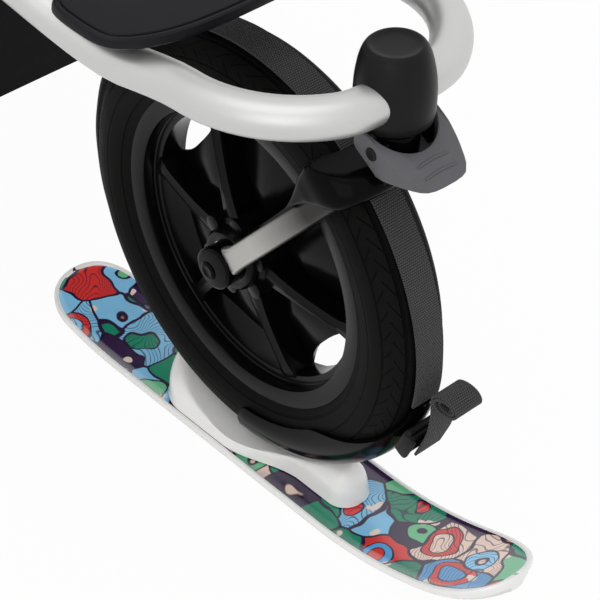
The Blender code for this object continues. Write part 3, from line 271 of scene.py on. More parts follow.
def shadeLegs(made, values):
    y, z = made.split("ShaderNodeSeparateXYZ", made.place())[1:]
    along = y * values["along"][0] + z * values["along"][1] - values["start"]
    # painted shade: past the edge the leg's colour goes over to near black
    made.set("Base Color", made.mix(along.above(values["edge"], values["soft"]), values["bright"],
                                    values["deep"]))


# tread and side rings of the tyre, drawn along its own surface, with painted shade in their grooves
tyreSet = {"middle": 0.0660, "blocks": 66, "round": 0.955, "edge": 0.0284, "groove": 0.0142, "slant": 120,
           "inner": (0.0150, 0.0218), "outer": 0.0228, "soft": 0.0006, "ringSoft": 0.0005,
           "wall": ((0.0395, 0.0006), (0.0510, 0.0007))}


def tyreFinish(values):
    made = Finish("tyreRubber", (0.018, 0.018, 0.018), 0.60, shine=0.06)
    soft, ringSoft = values["soft"], values["ringSoft"]
    u, v = made.uv()
    away = (v - values["middle"]).abs()
    turn = u * (values["blocks"] / values["round"])
    side = (v - values["middle"]).above(0, 0.0001)
    slant = away * values["slant"]
    inner = ((turn + slant + side * 0.5).frac() - 0.5).abs().below(0.055, 0.03)
    inner = inner * away.above(values["inner"][0], soft) * away.below(values["inner"][1], soft)
    outer = ((turn - slant * 0.8 + 0.35 + side * 0.5).frac() - 0.5).abs().below(0.05, 0.03)
    outer = outer * away.above(values["outer"], soft) * away.below(values["edge"], soft)
    ring = (away - values["groove"]).abs().below(0.0009, ringSoft)
    step = (away - values["edge"] - 0.0006).abs().below(0.0006, ringSoft)
    low, high = ((away - place).abs().below(half, ringSoft) for place, half in values["wall"])
    # painted shade: the sipes, grooves and side rings are painted near black for the shade inside them, and the same
    # mask cuts them into the bump
    cut = (inner + outer + ring + step + (low + high) * 0.6).most(1)
    dust, grit = made.noise(55, 4), made.noise(1800, 2)
    # the last colour is the painted shade in the grooves, laid over the dusty rubber
    made.set("Base Color", made.mix(cut, made.mix(dust, (0.0012, 0.0012, 0.0012), (0.0062, 0.0062, 0.0058)),
                                    (0.0004, 0.0004, 0.0004)))
    made.set("Roughness", 0.52 + dust * 0.18)
    made.bump((1 - cut) + grit * 0.05, 0.0011, 1.0)
    return made


# a free pattern of overlapping rounded shapes with dark outlines, in the print's colours
printSet = {"cell": 30.0, "spot": 62.0, "outline": 0.030, "warp": 0.010, "hoop": 0.34, "core": 0.19,
            "line": (0.022, 0.008, 0.040), "dash": (0.03, 0.01, 0.05), "dot": (0.84, 0.70, 0.62),
            "shade": (0.01, 0.02, 0.05),
            "palette": [(0.0, (0.01, 0.28, 0.16)), (0.16, (0.26, 0.62, 0.92)), (0.34, (0.78, 0.040, 0.030)),
                        (0.48, (0.94, 0.70, 0.60)), (0.58, (0.035, 0.010, 0.060)), (0.65, (0.15, 0.55, 0.28)),
                        (0.78, (0.92, 0.34, 0.17)), (0.88, (0.10, 0.38, 0.74))]}


def printFinish(values):
    made = Finish("skiPrint", (0.3, 0.5, 0.5), 0.22, coat=0.6)
    flat = made.node("ShaderNodeVectorMath", {"operation": "MULTIPLY"}, {0: made.place(), 1: (1, 1, 0.25)})
    wobble = made.noise(38, 1, flat, "Color")
    push = made.node("ShaderNodeVectorMath", {"operation": "MULTIPLY_ADD"},
                     {0: wobble, 1: (values["warp"] * 2,) * 3, 2: flat})
    cells = {"Vector": push, "Scale": values["cell"], "Randomness": 0.9}
    spots = {"Vector": push, "Scale": values["spot"]}
    voronoi = lambda inputs, out, settings=None: made.node("ShaderNodeTexVoronoi", settings, inputs, out)
    chance, other, third = made.split("ShaderNodeSeparateColor", voronoi(cells, "Color"))
    rim = voronoi(cells, "Distance", {"feature": "DISTANCE_TO_EDGE"})
    middle = voronoi(cells, "Distance")
    palette = values["palette"]
    swapped = [(stop, palette[(k + 3) % len(palette)][1]) for k, (stop, _) in enumerate(palette)]
    base, twin = (made.node("ShaderNodeValToRGB", {"steps": "CONSTANT", "stops": stops}, {0: share})
                  for stops, share in ((palette, chance), (swapped, other)))
    base = made.mix(made.noise(46, 1, push) * 0.15, base, values["shade"])
    hooped, cored = third.above(0.45, 0.01), third.below(0.45, 0.01)  # a hoop in some shapes, a core in others
    fromHoop = (middle - values["hoop"]).abs()
    hoop, hoopEdge = fromHoop.below(0.075, 0.01) * hooped, (fromHoop - 0.085).abs().below(0.016, 0.008) * hooped
    core = middle.below(values["core"], 0.01) * cored
    coreEdge = (middle - values["core"] - 0.01).abs().below(0.016, 0.008) * cored
    luck = made.split("ShaderNodeSeparateColor", voronoi(spots, "Color"))[0]
    dot = voronoi(spots, "Distance").below(0.20, 0.02) * luck.above(0.66, 0.01)
    dash = ((made.noise(26, 0, push) * 34).frac() - 0.5).abs().below(0.10, 0.05) * other.above(0.70, 0.01)
    colour = made.mix((hoop + core).most(1), base, twin)
    colour = made.mix(dash * 0.8, colour, values["dash"])
    colour = made.mix(dot, colour, values["dot"])
    line = (rim.below(values["outline"], 0.012) + hoopEdge + coreEdge).most(1)
    made.set("Base Color", made.mix(line, colour, values["line"]))
    made.set("Roughness", 0.17 + made.noise(400, 2) * 0.1)
    return made


finishes = {key: plainFinish(*values) for key, values in finishSet.items()}
shadeLegs(finishes["leg"], legShadeSet)
finishes["tyre"] = tyreFinish(tyreSet)
finishes["print"] = printFinish(printSet)
print("finishes made:", len(finishes))


# mesh tools: everything is lofted from closed rows of points
def loft(rows, loop=False):
    m, n = len(rows), len(rows[0])
    wide = max(rows, key=lambda row: sum((row[j] - row[j - 1]).length for j in range(1, n)))
    across, along = [0.0], [0.0]
    for j in range(1, n + 1):
        across.append(across[-1] + (wide[j % n] - wide[j - 1]).length)
    for i in range(1, m + 1):
        here, there = rows[i % m], rows[i - 1]
        along.append(along[-1] + max((here[j] - there[j]).length for j in range(0, n, max(1, n // 12))))
    faces, uvs = [], []
    for i in range(m if loop else m - 1):
        for j in range(n):
            down, side = (i + 1) % m, (j + 1) % n
            faces.append((i * n + j, i * n + side, down * n + side, down * n + j))
            uvs += [(along[i], across[j]), (along[i], across[j + 1]),
                    (along[i + 1], across[j + 1]), (along[i + 1], across[j])]
    if not loop:
        for i, order in ((0, range(n - 1, -1, -1)), (m - 1, range(n))):
            faces.append(tuple(i * n + j for j in order))
            uvs += [(rows[i][j].x + rows[i][j].y, rows[i][j].z) for j in order]
    return [p for row in rows for p in row], faces, uvs


def newMesh(name, verts, faces, uvs=None):
    mesh = bpy.data.meshes.new(name)
    mesh.from_pydata(verts, [], faces)
    if uvs:
        layer = mesh.uv_layers.new(name="UVMap")
        for corner, value in zip(layer.data, uvs):
            corner.uv = value
    bm = bmesh.new()
    bm.from_mesh(mesh)
    bmesh.ops.recalc_face_normals(bm, faces=bm.faces)
    bm.to_mesh(mesh)
    bm.free()
    return mesh


def smoothTo(mesh, degrees):
    mesh.shade_smooth()
    mesh.set_sharp_from_angle(angle=math.radians(degrees))


def addPiece(name, parts, finish, body, instead=(), shift=atOrigin, angle=40, second=None, pickSecond=None):
    if isinstance(parts, tuple):
        parts = [parts]
    verts, faces, uvs = [], [], []
    for partVerts, partFaces, partUvs in parts:
        start = len(verts)
        verts += [Vector(p) + Vector(shift) for p in partVerts]
        faces += [tuple(start + k for k in face) for face in partFaces]
        uvs += partUvs
    mesh = newMesh(name, verts, faces, uvs)
    mesh.materials.append(finishes[finish].material)
    if second:
        mesh.materials.append(finishes[second].material)
        for face in mesh.polygons:
            face.material_index = 1 if pickSecond(face) else 0
    smoothTo(mesh, angle)
    return register(bpy.data.objects.new(name, mesh), body, instead)


def register(piece, body, instead=()):
    if not piece.users_collection:
        link(piece)
    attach(piece, body)
    if instead:
        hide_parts(*instead)
    return piece


def polar(x, radius, degrees):
    angle = math.radians(degrees)
    return Vector((x, radius * math.cos(angle), radius * math.sin(angle)))


def circle(steps):
    return [(math.cos(math.tau * k / steps), math.sin(math.tau * k / steps)) for k in range(steps)]


def squared(value, power):  # bends a sine or cosine, so that its circle grows corners
    return math.copysign(abs(value) ** power, value)


def eased(share):
    return share * share * (3 - 2 * share)


def bunched(k, count, margin=0.0):  # even steps drawn together at both ends
    return 0.5 - 0.5 * math.cos(math.pi * (margin + (1 - 2 * margin) * k / count))


def runAt(path, k):
    return (path[min(k + 1, len(path) - 1)] - path[max(k - 1, 0)]).normalized()


def dense(points, pitch):  # steps of about one pitch along a closed outline
    result = []
    for k, a in enumerate(points):
        b = points[(k + 1) % len(points)]
        parts = max(1, round((b - a).length / pitch))
        result += [a + (b - a) * j / parts for j in range(parts)]
    return result


def turned(profile, steps):  # radius and height pairs, turned round X
    return loft([[Vector((h, r * c, r * s)) for r, h in profile] for c, s in circle(steps)], loop=True)


def post(profile, steps, axis="X", centre=atOrigin):  # height and radius pairs, closed at both ends
    return loft([[Vector(centre) + Vector((h, r * c, r * s) if axis == "X" else (r * c, r * s, h))
                  for c, s in circle(steps)] for h, r in profile])


def rod(half, radius, bevel, drop, steps, centre=atOrigin):  # a round bar along X
    return post([(-half, radius - drop), (bevel - half, radius), (half - bevel, radius), (half, radius - drop)],
                steps, "X", centre)


def sweep(path, width, height, steps, power=2.0):
    rows, side = [], None
    for k, point in enumerate(path):
        run = runAt(path, k)
        side = run.cross(alongZ) if side is None else side - run * side.dot(run)
        side.normalize()
        lift = side.cross(run)
        w = width(k / (len(path) - 1)) if callable(width) else width
        h = height or w
        rows.append([point + side * w * squared(c, 2 / power) + lift * h * squared(s, 2 / power)
                     for c, s in circle(steps)])
    return loft(rows)


def offset(outline, inward):
    count, result = len(outline), []
    area = sum(outline[k - 1][0] * outline[k][1] - outline[k][0] * outline[k - 1][1] for k in range(count))
    for k in range(count):
        before, after = Vector(outline[k - 1]), Vector(outline[(k + 1) % count])
        run = (after - before).normalized()
        normal = Vector((-run.y, run.x)) * (1 if area > 0 else -1)
        result.append(Vector(outline[k]) + normal * inward)
    return result


def slab(outline, low, high, edge):
    levels = ((low, 1), (low + edge * 0.3, 0.3), (low + edge, 0), (high - edge, 0), (high - edge * 0.3, 0.3),
              (high, 1))
    return loft([[Vector((p[0], p[1], z)) for p in offset(outline, edge * t)] for z, t in levels])


def roundBox(low, high, radius, steps=5):
    corners = []
    for cx, cy, start in ((high[0] - radius, high[1] - radius, 0), (low[0] + radius, high[1] - radius, 90),
                          (low[0] + radius, low[1] + radius, 180), (high[0] - radius, low[1] + radius, 270)):
        for k in range(steps + 1):
            angle = math.radians(start + 90 * k / steps)
            corners.append((cx + radius * math.cos(angle), cy + radius * math.sin(angle)))
    return corners


def moved(part, matrix):
    return [matrix @ p for p in part[0]], part[1], part[2]


def shifted(part, x, y, z):
    return moved(part, Matrix.Translation((x, y, z)))


def sided(part, sign):  # the part on its own side, or mirrored to the other
    return moved(part, Matrix.Scale(sign, 4, alongX))


# what lies flat is stood up by this, with its face forward
upright = Matrix(((1, 0, 0, 0), (0, 0, -1, 0), (0, 1, 0, 0), (0, 0, 0, 1)))


# geometry nodes for what repeats: round an axis, and along a line
def nodeTree(name, inputs, kinds):
    tree = bpy.data.node_groups.new(name, "GeometryNodeTree")
    face = tree.interface.new_socket
    face("Geometry", in_out="INPUT", socket_type="NodeSocketGeometry")
    for label, kind, value in (*inputs, ("Material", "Material", None)):
        socket = face(label, in_out="INPUT", socket_type="NodeSocket" + kind)
        if value is not None:
            socket.default_value = value
    face("Geometry", in_out="OUTPUT", socket_type="NodeSocketGeometry")
    return tree, tree.nodes.new("NodeGroupInput").outputs, [tree.nodes.new(kind) for kind in kinds]


def finishTree(tree, start, last, pairs):
    real = tree.nodes.new("GeometryNodeRealizeInstances")
    paint = tree.nodes.new("GeometryNodeSetMaterial")
    out = tree.nodes.new("NodeGroupOutput")
    for first, second in (*pairs, (last, real.inputs[0]), (real.outputs[0], paint.inputs["Geometry"]),
                          (start["Material"], paint.inputs["Material"]), (paint.outputs[0], out.inputs[0])):
        tree.links.new(first, second)
    return tree


def radialTree():
    tree, start, (points, spread, index, step, turn, add, euler) = nodeTree(
        "repeatRoundAxis", (("Count", "Int", 6), ("First", "Float", 0.0)),
        ("GeometryNodePoints", "GeometryNodeInstanceOnPoints", "GeometryNodeInputIndex", "ShaderNodeMath",
         "ShaderNodeMath", "ShaderNodeMath", "ShaderNodeCombineXYZ"))
    step.operation, turn.operation = "DIVIDE", "MULTIPLY"
    step.inputs[0].default_value = math.tau
    return finishTree(tree, start, spread.outputs[0], (
        (start["Count"], points.inputs["Count"]), (start["Count"], step.inputs[1]),
        (index.outputs[0], turn.inputs[0]), (step.outputs[0], turn.inputs[1]), (turn.outputs[0], add.inputs[0]),
        (start["First"], add.inputs[1]), (add.outputs[0], euler.inputs["X"]),
        (points.outputs[0], spread.inputs["Points"]), (start["Geometry"], spread.inputs["Instance"]),
        (euler.outputs[0], spread.inputs["Rotation"])))


def stitchTree():
    tree, start, (curve, even, bead, tangent, align, spread) = nodeTree(
        "stitchAlongLine", (("Spacing", "Float", 0.004), ("Length", "Float", 0.0026),
                            ("Thickness", "Float", 0.00035)),
        ("GeometryNodeMeshToCurve", "GeometryNodeResampleCurve", "GeometryNodeMeshCylinder",
         "GeometryNodeInputTangent", "FunctionNodeAlignRotationToVector", "GeometryNodeInstanceOnPoints"))
    even.mode = "LENGTH"
    bead.inputs["Vertices"].default_value = 6
    align.axis = "Z"
    return finishTree(tree, start, spread.outputs[0], (
        (start["Geometry"], curve.inputs[0]), (curve.outputs[0], even.inputs["Curve"]),
        (start["Spacing"], even.inputs["Length"]), (start["Thickness"], bead.inputs["Radius"]),
        (start["Length"], bead.inputs["Depth"]), (tangent.outputs[0], align.inputs["Vector"]),
        (even.outputs[0], spread.inputs["Points"]), (bead.outputs[0], spread.inputs["Instance"]),
        (align.outputs[0], spread.inputs["Rotation"])))


trees = {"radial": radialTree(), "stitch": stitchTree()}


def grow(mesh, treeName, values):
    holder = link(bpy.data.objects.new("holder", mesh))
    modifier = holder.modifiers.new("grow", "NODES")
    modifier.node_group = trees[treeName]
    for item in trees[treeName].interface.items_tree:
        if item.in_out == "INPUT" and item.name in values:
            modifier[item.identifier] = values[item.name]
    graph = bpy.context.evaluated_depsgraph_get()
    result = bpy.data.meshes.new_from_object(holder.evaluated_get(graph))
    bpy.data.objects.remove(holder, do_unlink=True)
    return result


def addRepeated(name, part, count, finish, body, shift, first):
    grown = grow(newMesh(name, part[0], part[1]), "radial",
                 {"Count": count, "First": first, "Material": finishes[finish].material})
    grown.transform(Matrix.Translation(Vector(shift)))
    smoothTo(grown, 40)
    return register(bpy.data.objects.new(name, grown), body)


stitchSet = {"spacing": 0.0042, "share": 0.62, "thick": 0.00035}


def addStitches(name, lines, body, values):
    mesh = bpy.data.meshes.new(name)
    verts, edges = [], []
    for line in lines:
        start = len(verts)
        verts += line
        edges += [(start + k, start + k + 1) for k in range(len(line) - 1)]
    mesh.from_pydata(verts, edges, [])
    grown = grow(mesh, "stitch", {"Spacing": values["spacing"], "Length": values["spacing"] * values["share"],
                                  "Thickness": values["thick"], "Material": finishes["thread"].material})
    return register(bpy.data.objects.new(name, grown), body)


print("tools ready")


# wheel: tyre, rim, spokes, webs between them and lobes round the hub; every wheel has the same
wheelSet = {"major": 0.1268, "section": 0.0252, "steps": 144, "open": 150, "flat": 0.012, "spokes": 6,
            "spokeTurn": 39, "spokeRoot": 0.022, "spokeTip": 0.0932, "spokeDeep": 0.0180, "lip": 0.0016,
            "webRoot": 0.024, "webTip": 0.074, "webSpan": 55, "webThick": 0.003}
rimSet = {"barrel": [(0.1064, 0.0150), (0.1092, 0.0160), (0.1101, 0.0172), (0.1102, 0.0184), (0.1094, 0.0190),
                     (0.1082, 0.0190), (0.0992, 0.0184), (0.0981, 0.0179), (0.0976, 0.0169), (0.0975, 0.0092),
                     (0.0968, 0.0085), (0.0930, 0.0084), (0.0921, 0.0078), (0.0919, 0.0060)],
          "hub": [(0.0064, 0.0205), (0.0142, 0.0207), (0.0142, 0.0293), (0.0165, 0.0299), (0.0195, 0.0293),
                  (0.0212, 0.0270), (0.0218, 0.0210), (0.0250, 0.0190), (0.0262, 0.0150)]}


def tyrePart(values):
    rows, count, major, section = [], 44, values["major"], values["section"]
    for k in range(values["steps"]):
        row = []
        for j in range(count + 1):
            phi = math.radians(values["open"] - 2 * values["open"] * j / count)
            flat = 1 - values["flat"] * math.cos(phi) ** 8  # the tread is a little flatter than a circle
            row.append(polar(section * math.sin(phi), (major + section * math.cos(phi)) * flat,
                             360 * k / values["steps"]))
        rows.append(row)
    return loft(rows, loop=True)


def rimParts(values):
    flip = lambda half: [(r, -h) for r, h in reversed(half)]
    barrel, hub = values["barrel"], values["hub"]
    return [turned([(0.1050, 0.0)] + barrel + flip(barrel), 144),
            turned([(0.0064, 0.0)] + hub + [(0.0264, 0.0)] + flip(hub), 72)]


def spokePart(values, count=14):
    rows = []
    for t in [k / count for k in range(count + 1)]:
        radius = values["spokeRoot"] + (values["spokeTip"] - values["spokeRoot"]) * t
        half = 0.0030 + 0.0030 * (1 - t) ** 4 + 0.004 * max(0, t - 0.85) * 5
        deep = values["spokeDeep"] - 0.0085 * t ** 1.6
        lip = half + values["lip"]
        row = [(deep, half * 0.55), (deep + 0.0008, 0), (deep, -half * 0.55), (deep - 0.001, -lip),
               (deep - 0.0034, -lip), (deep - 0.0046, -half * 0.62), (0, -half * 0.5),
               (-deep + 0.0046, -half * 0.62), (-deep + 0.0034, -lip), (-deep + 0.001, -lip)]
        row += [(-x, -aside) for x, aside in row]
        rows.append([Vector((x, aside, radius)) for x, aside in row])
    return loft(rows)


def webPart(values, count=12):
    rows, root, thick = [], values["webRoot"], values["webThick"]
    for k in range(count + 1):
        degrees = 90 - values["webSpan"] / 2 + values["webSpan"] * k / count
        edge = abs(2 * k / count - 1)
        outer = values["webTip"] + 0.020 * edge ** 2.4
        dish, hollow = 0.006 * (1 - edge ** 2), 0.010 * (1 - edge ** 2)
        rows.append([polar(0.0085 - dish, root, degrees), polar(0.0060 - hollow, (outer + root) / 2, degrees),
                     polar(0.0095 - dish, outer, degrees), polar(0.0095 - thick - dish, outer + 0.0006, degrees),
                     polar(0.0060 - thick - hollow, (outer + root) / 2, degrees),
                     polar(0.0085 - thick - dish, root, degrees)])
    return loft(rows)


# ski under each wheel; y runs from the axle
skiSet = {"half": 0.0348, "nose": 0.234, "tail": 0.217, "edge": 0.0034, "thick": 0.0125, "wall": 0.0042,
          "bevel": 0.0072, "noseRound": 0.058, "tailRound": 0.040, "noseRise": 0.085, "tailRise": 0.125,
          "top": 9, "dip": 0.0007}


def skiWidth(y, values, inset=0.0):
    nose = max(0.0, values["noseRound"] - (values["nose"] - inset + y)) / values["noseRound"]
    tail = max(0.0, values["tailRound"] - (values["tail"] - inset - y)) / values["tailRound"]
    return (values["half"] - inset) * max(0.0, 1 - min(1.0, max(nose, tail)) ** 2.4) ** (1 / 2.4)


def skiRise(y, values):
    return max(0.0, -y - values["noseRise"]) ** 2 / 0.51 + max(0.0, y - values["tailRise"]) ** 2 / 0.54


def skiPart(values, count=96):
    rows, nose, tail, edge = [], values["nose"], values["tail"], values["edge"]
    for k in range(count + 1):
        y = -nose + (nose + tail) * bunched(k, count, 0.012)
        wide, inner = skiWidth(y, values), skiWidth(y, values, edge)
        if y < -nose + edge or y > tail - edge:
            inner = 0.0
        low = skiRise(y, values) - axleHeight
        top = low + values["thick"]
        base = max(wide * 0.5, wide - values["bevel"])
        dip = values["dip"] if inner > 0.002 else 0.0
        inner = min(inner, wide * 0.97)
        lip = inner + (wide - inner) * 0.2
        row = [(wide - 0.0015, top), (lip, top + 0.0001), (inner, top - dip)]
        row += [(inner * (1 - j / 5), top - dip) for j in range(1, values["top"] + 1)]
        row += [(-inner, top - dip), (-lip, top + 0.0001), (-wide + 0.0015, top),
                (-wide, top - 0.0014), (-wide, top - values["wall"]), (-base, low), (0, low),
                (base, low), (wide, top - values["wall"]), (wide, top - 0.0014)]
        rows.append([Vector((max(-wide, min(wide, x)), y, z)) for x, z in row])
    return loft(rows)


def onPrint(face):  # the ski's own upper faces, inside its white edge
    return face.index % (skiSet["top"] + 13) in range(2, skiSet["top"] + 4) and face.normal.z > 0.5


# white block between ski and tyre, with a seat cut to the tyre's radius
plinthSet = {"nose": 0.094, "tail": 0.088, "tailHalf": 0.0305, "noseHalf": 0.0145, "waist": -0.020,
             "waistRun": 0.060, "side": 0.0052, "crown": 0.0215, "floor": -0.1643, "foot": 0.0012,
             "seat": 0.1561, "arc": 20}


def plinthPart(values, count=48):
    rows, floor, arc = [], values["floor"], values["arc"]
    for k in range(count + 1):
        y = -values["nose"] + (values["nose"] + values["tail"]) * bunched(k, count, 0.015)
        share = min(1.0, max(0.0, (y - values["waist"]) / values["waistRun"] + 0.5))
        half = values["noseHalf"] + (values["tailHalf"] - values["noseHalf"]) * eased(share)
        reach = min(1.0, (y + values["nose"]) / values["noseHalf"], (values["tail"] - y) / values["tailHalf"])
        half *= math.sqrt(max(0.0001, 1 - (1 - max(0.0, reach)) ** 2))
        lift = min(1.0, half / values["noseHalf"])
        seat = -math.sqrt(values["seat"] ** 2 - min(abs(y), 0.15) ** 2)
        row = [Vector((half + values["foot"], y, floor)), Vector((-half - values["foot"], y, floor))]
        for c in range(arc + 1):
            angle = math.pi * (1 - c / arc)
            z = floor + (values["side"] + values["crown"] * math.sin(angle) ** 0.8) * lift
            row.append(Vector((half * math.cos(angle), y, min(z, seat))))
        rows.append(row)
    return loft(rows)


# black cradle that holds the tyre, in degrees round the axle, and the strap over the tyre
cradleSet = {"front": 194.0, "rear": 274.0, "section": 0.0255, "wall": 0.0032, "lip": 104.0, "foot": 18.0}
strapSet = {"half": 0.0105, "front": 193.6, "rear": 274.4, "low": 0.1525, "thick": 0.0017, "aside": -0.003,
            "bow": 1.8}


def cradlePart(values, count=46, columns=26):
    rows = []
    for k in range(count + 1):
        share = k / count
        degrees = values["rear"] + (values["front"] - values["rear"]) * share
        ease = eased(min(1.0, share / 0.10, (1 - share) / 0.50))
        reach = math.radians(values["foot"] + (values["lip"] - values["foot"]) * ease)
        inner, outer = [], []
        for c in range(columns + 1):
            phi = -reach + 2 * reach * c / columns
            for radius, row in ((values["section"], inner), (values["section"] + values["wall"], outer)):
                row.append(polar(radius * math.sin(phi), wheelSet["major"] + radius * math.cos(phi), degrees))
        rows.append(outer + inner[::-1])
    return loft(rows)


def strapPart(values, count=150):
    rows, half, low = [], values["half"], values["low"]
    for k in range(count + 1):
        degrees = values["front"] - (values["front"] + 360 - values["rear"]) * k / count
        high = low + values["thick"] + 0.0002 * math.sin(k * 0.7)
        aside = values["aside"] * math.sin(math.pi * min(1, k / 30, (count - k) / 30) / 2)
        under = [(x, low) for x in (-half, 0, half)]
        over = [(half * (1 - j / 4), high) for j in range(9)]
        rows.append([polar(x + aside, level - values["bow"] * x * x, degrees) for x, level in under + over])
    return loft(rows)


# buckle on the strap in front of the wheel: a frame, three bars and two cheeks
buckleSet = {"turn": 24, "radius": 0.1562, "half": (0.0155, 0.012), "round": 0.004, "thick": 0.0046,
             "bars": (-0.0085, 0.0, 0.0085), "barRadius": 0.1625, "cheekX": 0.0138, "cheekHalf": 0.0105,
             "cheekDeep": 0.0085, "cheekRadius": 0.1662}


def buckleParts(values):
    turn = Matrix.Rotation(math.radians(values["turn"]), 4, "X")
    wide, tall = values["half"]
    plate = slab(roundBox((-wide, -tall), (wide, tall), values["round"]), 0.0, values["thick"], 0.0012)
    quarter = Matrix.Rotation(math.radians(90), 4, "X")
    parts = [moved(plate, turn @ Matrix.Translation((0, -values["radius"], 0)) @ quarter)]
    for z in values["bars"]:
        proud = 0 if z else 0.002  # the middle bar stands proud of the others
        parts.append(moved(rod(0.0140, 0.0020, 0.0004, 0.0005, 14),
                           turn @ Matrix.Translation((0, -values["barRadius"] - proud, z))))
    long, deep = values["cheekHalf"], values["cheekDeep"]
    onEdge = Matrix(((0, 0, 1, 0), (0, -1, 0, 0), (1, 0, 0, 0), (0, 0, 0, 1)))
    for x in (-values["cheekX"], values["cheekX"]):
        cheek = slab(roundBox((-long, 0.0), (long, deep), 0.003), -0.0014, 0.0014, 0.0006)
        parts.append(moved(cheek, turn @ Matrix.Translation((x, deep - values["cheekRadius"], 0)) @ onEdge))
    return parts


# spare strap rolled up below the front buckle
rollSet = {"pitch": 0.0026, "core": 0.0036, "turns": 2.6, "forward": 0.176, "under": 0.018, "half": 0.0105,
           "steps": 112, "oval": 0.70, "tilt": 24, "buckle": 0.1683, "thick": 0.00085}


def rollPart(values):
    total = math.tau * values["turns"]
    centre = Vector((0, -values["forward"], -values["under"]))
    path = []
    for k in range(values["steps"] + 1):
        turnedBy = total * k / values["steps"]
        radius = values["core"] + values["pitch"] * turnedBy / math.tau
        radius *= 1 + 0.10 * math.cos(2 * (total - turnedBy) + 0.6)
        angle = total - turnedBy
        path.append(centre + Vector((0, radius * math.cos(angle), radius * math.sin(angle) * values["oval"])))
    tilt = math.radians(values["tilt"])
    down = Vector((0, math.sin(tilt), -math.cos(tilt)))
    out = Vector((0, -math.cos(tilt), -math.sin(tilt))) * values["buckle"]
    start, top = path[-1], out - down * 0.012
    pull = (top - start).length / 3
    first, second = start - alongZ * pull, top - down * pull
    for t in [k / 14 for k in range(1, 15)]:
        path.append(start * (1 - t) ** 3 + first * 3 * t * (1 - t) ** 2 + second * 3 * t * t * (1 - t) + top * t ** 3)
    path += [out + down * d for d in (-0.006, 0.0, 0.006)]
    rows = []
    for k, point in enumerate(path):
        run = runAt(path, k)
        normal = Vector((0, -run.z, run.y)) * values["thick"]
        slip = 0.0010 * math.sin(k * 0.05 + 1)
        rows.append([point + normal * face + alongX * (values["half"] * share + slip)
                     for face, shares in ((1, (-1, -0.5, 0, 0.5, 1)), (-1, (1, 0.5, 0, -0.5, -1)))
                     for share in shares])
    return loft(rows)


def dressWheel(name, prefix, body, centre):
    instead = lambda part: [prefix + "_" + part]
    addPiece(name + "Tyre", tyrePart(wheelSet), "tyre", body, instead("tyre"), centre, 60)
    addPiece(name + "Rim", rimParts(rimSet), "rim", body, instead("rim"), centre, 35)
    first, half = math.radians(wheelSet["spokeTurn"]), math.pi / wheelSet["spokes"]
    lobe = shifted(rod(0.0245, 0.0060, 0.0005, 0.0010, 14), 0, 0, 0.0245)
    for label, part, start in (("Spokes", spokePart(wheelSet), first), ("Webs", webPart(wheelSet), first + half),
                               ("HubLobes", lobe, first + half)):
        addRepeated(name + label, part, wheelSet["spokes"], "rim", body, centre, start)
    addPiece(name + "Ski", skiPart(skiSet), "white", body, instead("ski_board"), centre, 50, "print", onPrint)
    for label, parts, finish, angle in (("Plinth", plinthPart(plinthSet), "white", 60),
                                        ("Cradle", cradlePart(cradleSet), "gloss", 50),
                                        ("Strap", strapPart(strapSet), "webbing", 60),
                                        ("Buckle", buckleParts(buckleSet), "dark", 40)):
        addPiece(name + label, parts, finish, body, instead("ski_" + label.lower()), centre, angle)


dressWheel("front", "front", "front_wheel", frontAxle)
addPiece("frontStrapRoll", rollPart(rollSet), "webbing", "front_wheel", ["front_strap_roll"], frontAxle, 60)
for side, sign in sides:
    dressWheel("rear" + side.title(), "rear_" + side, "rear_wheel_" + side,
               Vector((sign * rearHalfTrack, rearAxle.y, axleHeight)))
print("wheels dressed")


# front fork; along and across are measured up and over its legs from the axle
forkSet = {"legX": 0.0365, "length": 0.154, "aside": -0.0021, "lowHalf": 0.0118, "half": 0.0078,
           "thick": 0.0056, "heading": math.radians(47.2), "blend": 0.030, "square": 0.7}


def forkPoint(along, across, x=0.0):
    c, s = math.cos(forkSet["heading"]), math.sin(forkSet["heading"])
    return Vector((x, -along * c + across * s, along * s + across * c))


def forkLeg(side, values, count=48, steps=32):
    rows, low = [], values["lowHalf"]
    start, end = -low, values["length"] + values["half"]
    for k in range(count + 1):
        along = start + (end - start) * bunched(k, count)
        ease = eased(max(0.0, min(1.0, along / values["blend"])))
        half = low + (values["half"] - low) * ease
        near = min((along - start) / low, (end - along) / values["half"], 1)
        half = max(0.0008, half * math.sqrt(max(0, 1 - (1 - near) ** 2)))
        thick = min(values["thick"], half * 0.9)
        rows.append([forkPoint(along, values["aside"] * ease + half * squared(s, values["square"]),
                               side * values["legX"] + thick * squared(c, values["square"]))
                     for c, s in circle(steps)])
    return loft(rows)


# cap over each end of the front axle, drawn out up the leg
axleCapSet = {"levels": ((0.0304, -0.001), (0.0308, 0.0006), (0.0428, 0.0010), (0.0438, 0.0002),
                         (0.0442, -0.0016)),
              "along": 0.0135, "across": 0.0132, "drawn": 0.004, "centre": (0.0035, -0.0004)}


def axleCap(side, values):
    rows = []
    for x, grown in values["levels"]:
        rows.append([forkPoint((values["along"] + grown) * c + values["centre"][0] + values["drawn"] * max(0, c),
                               (values["across"] + grown) * s + values["centre"][1], side * x)
                     for c, s in circle(40)])
    return loft(rows)


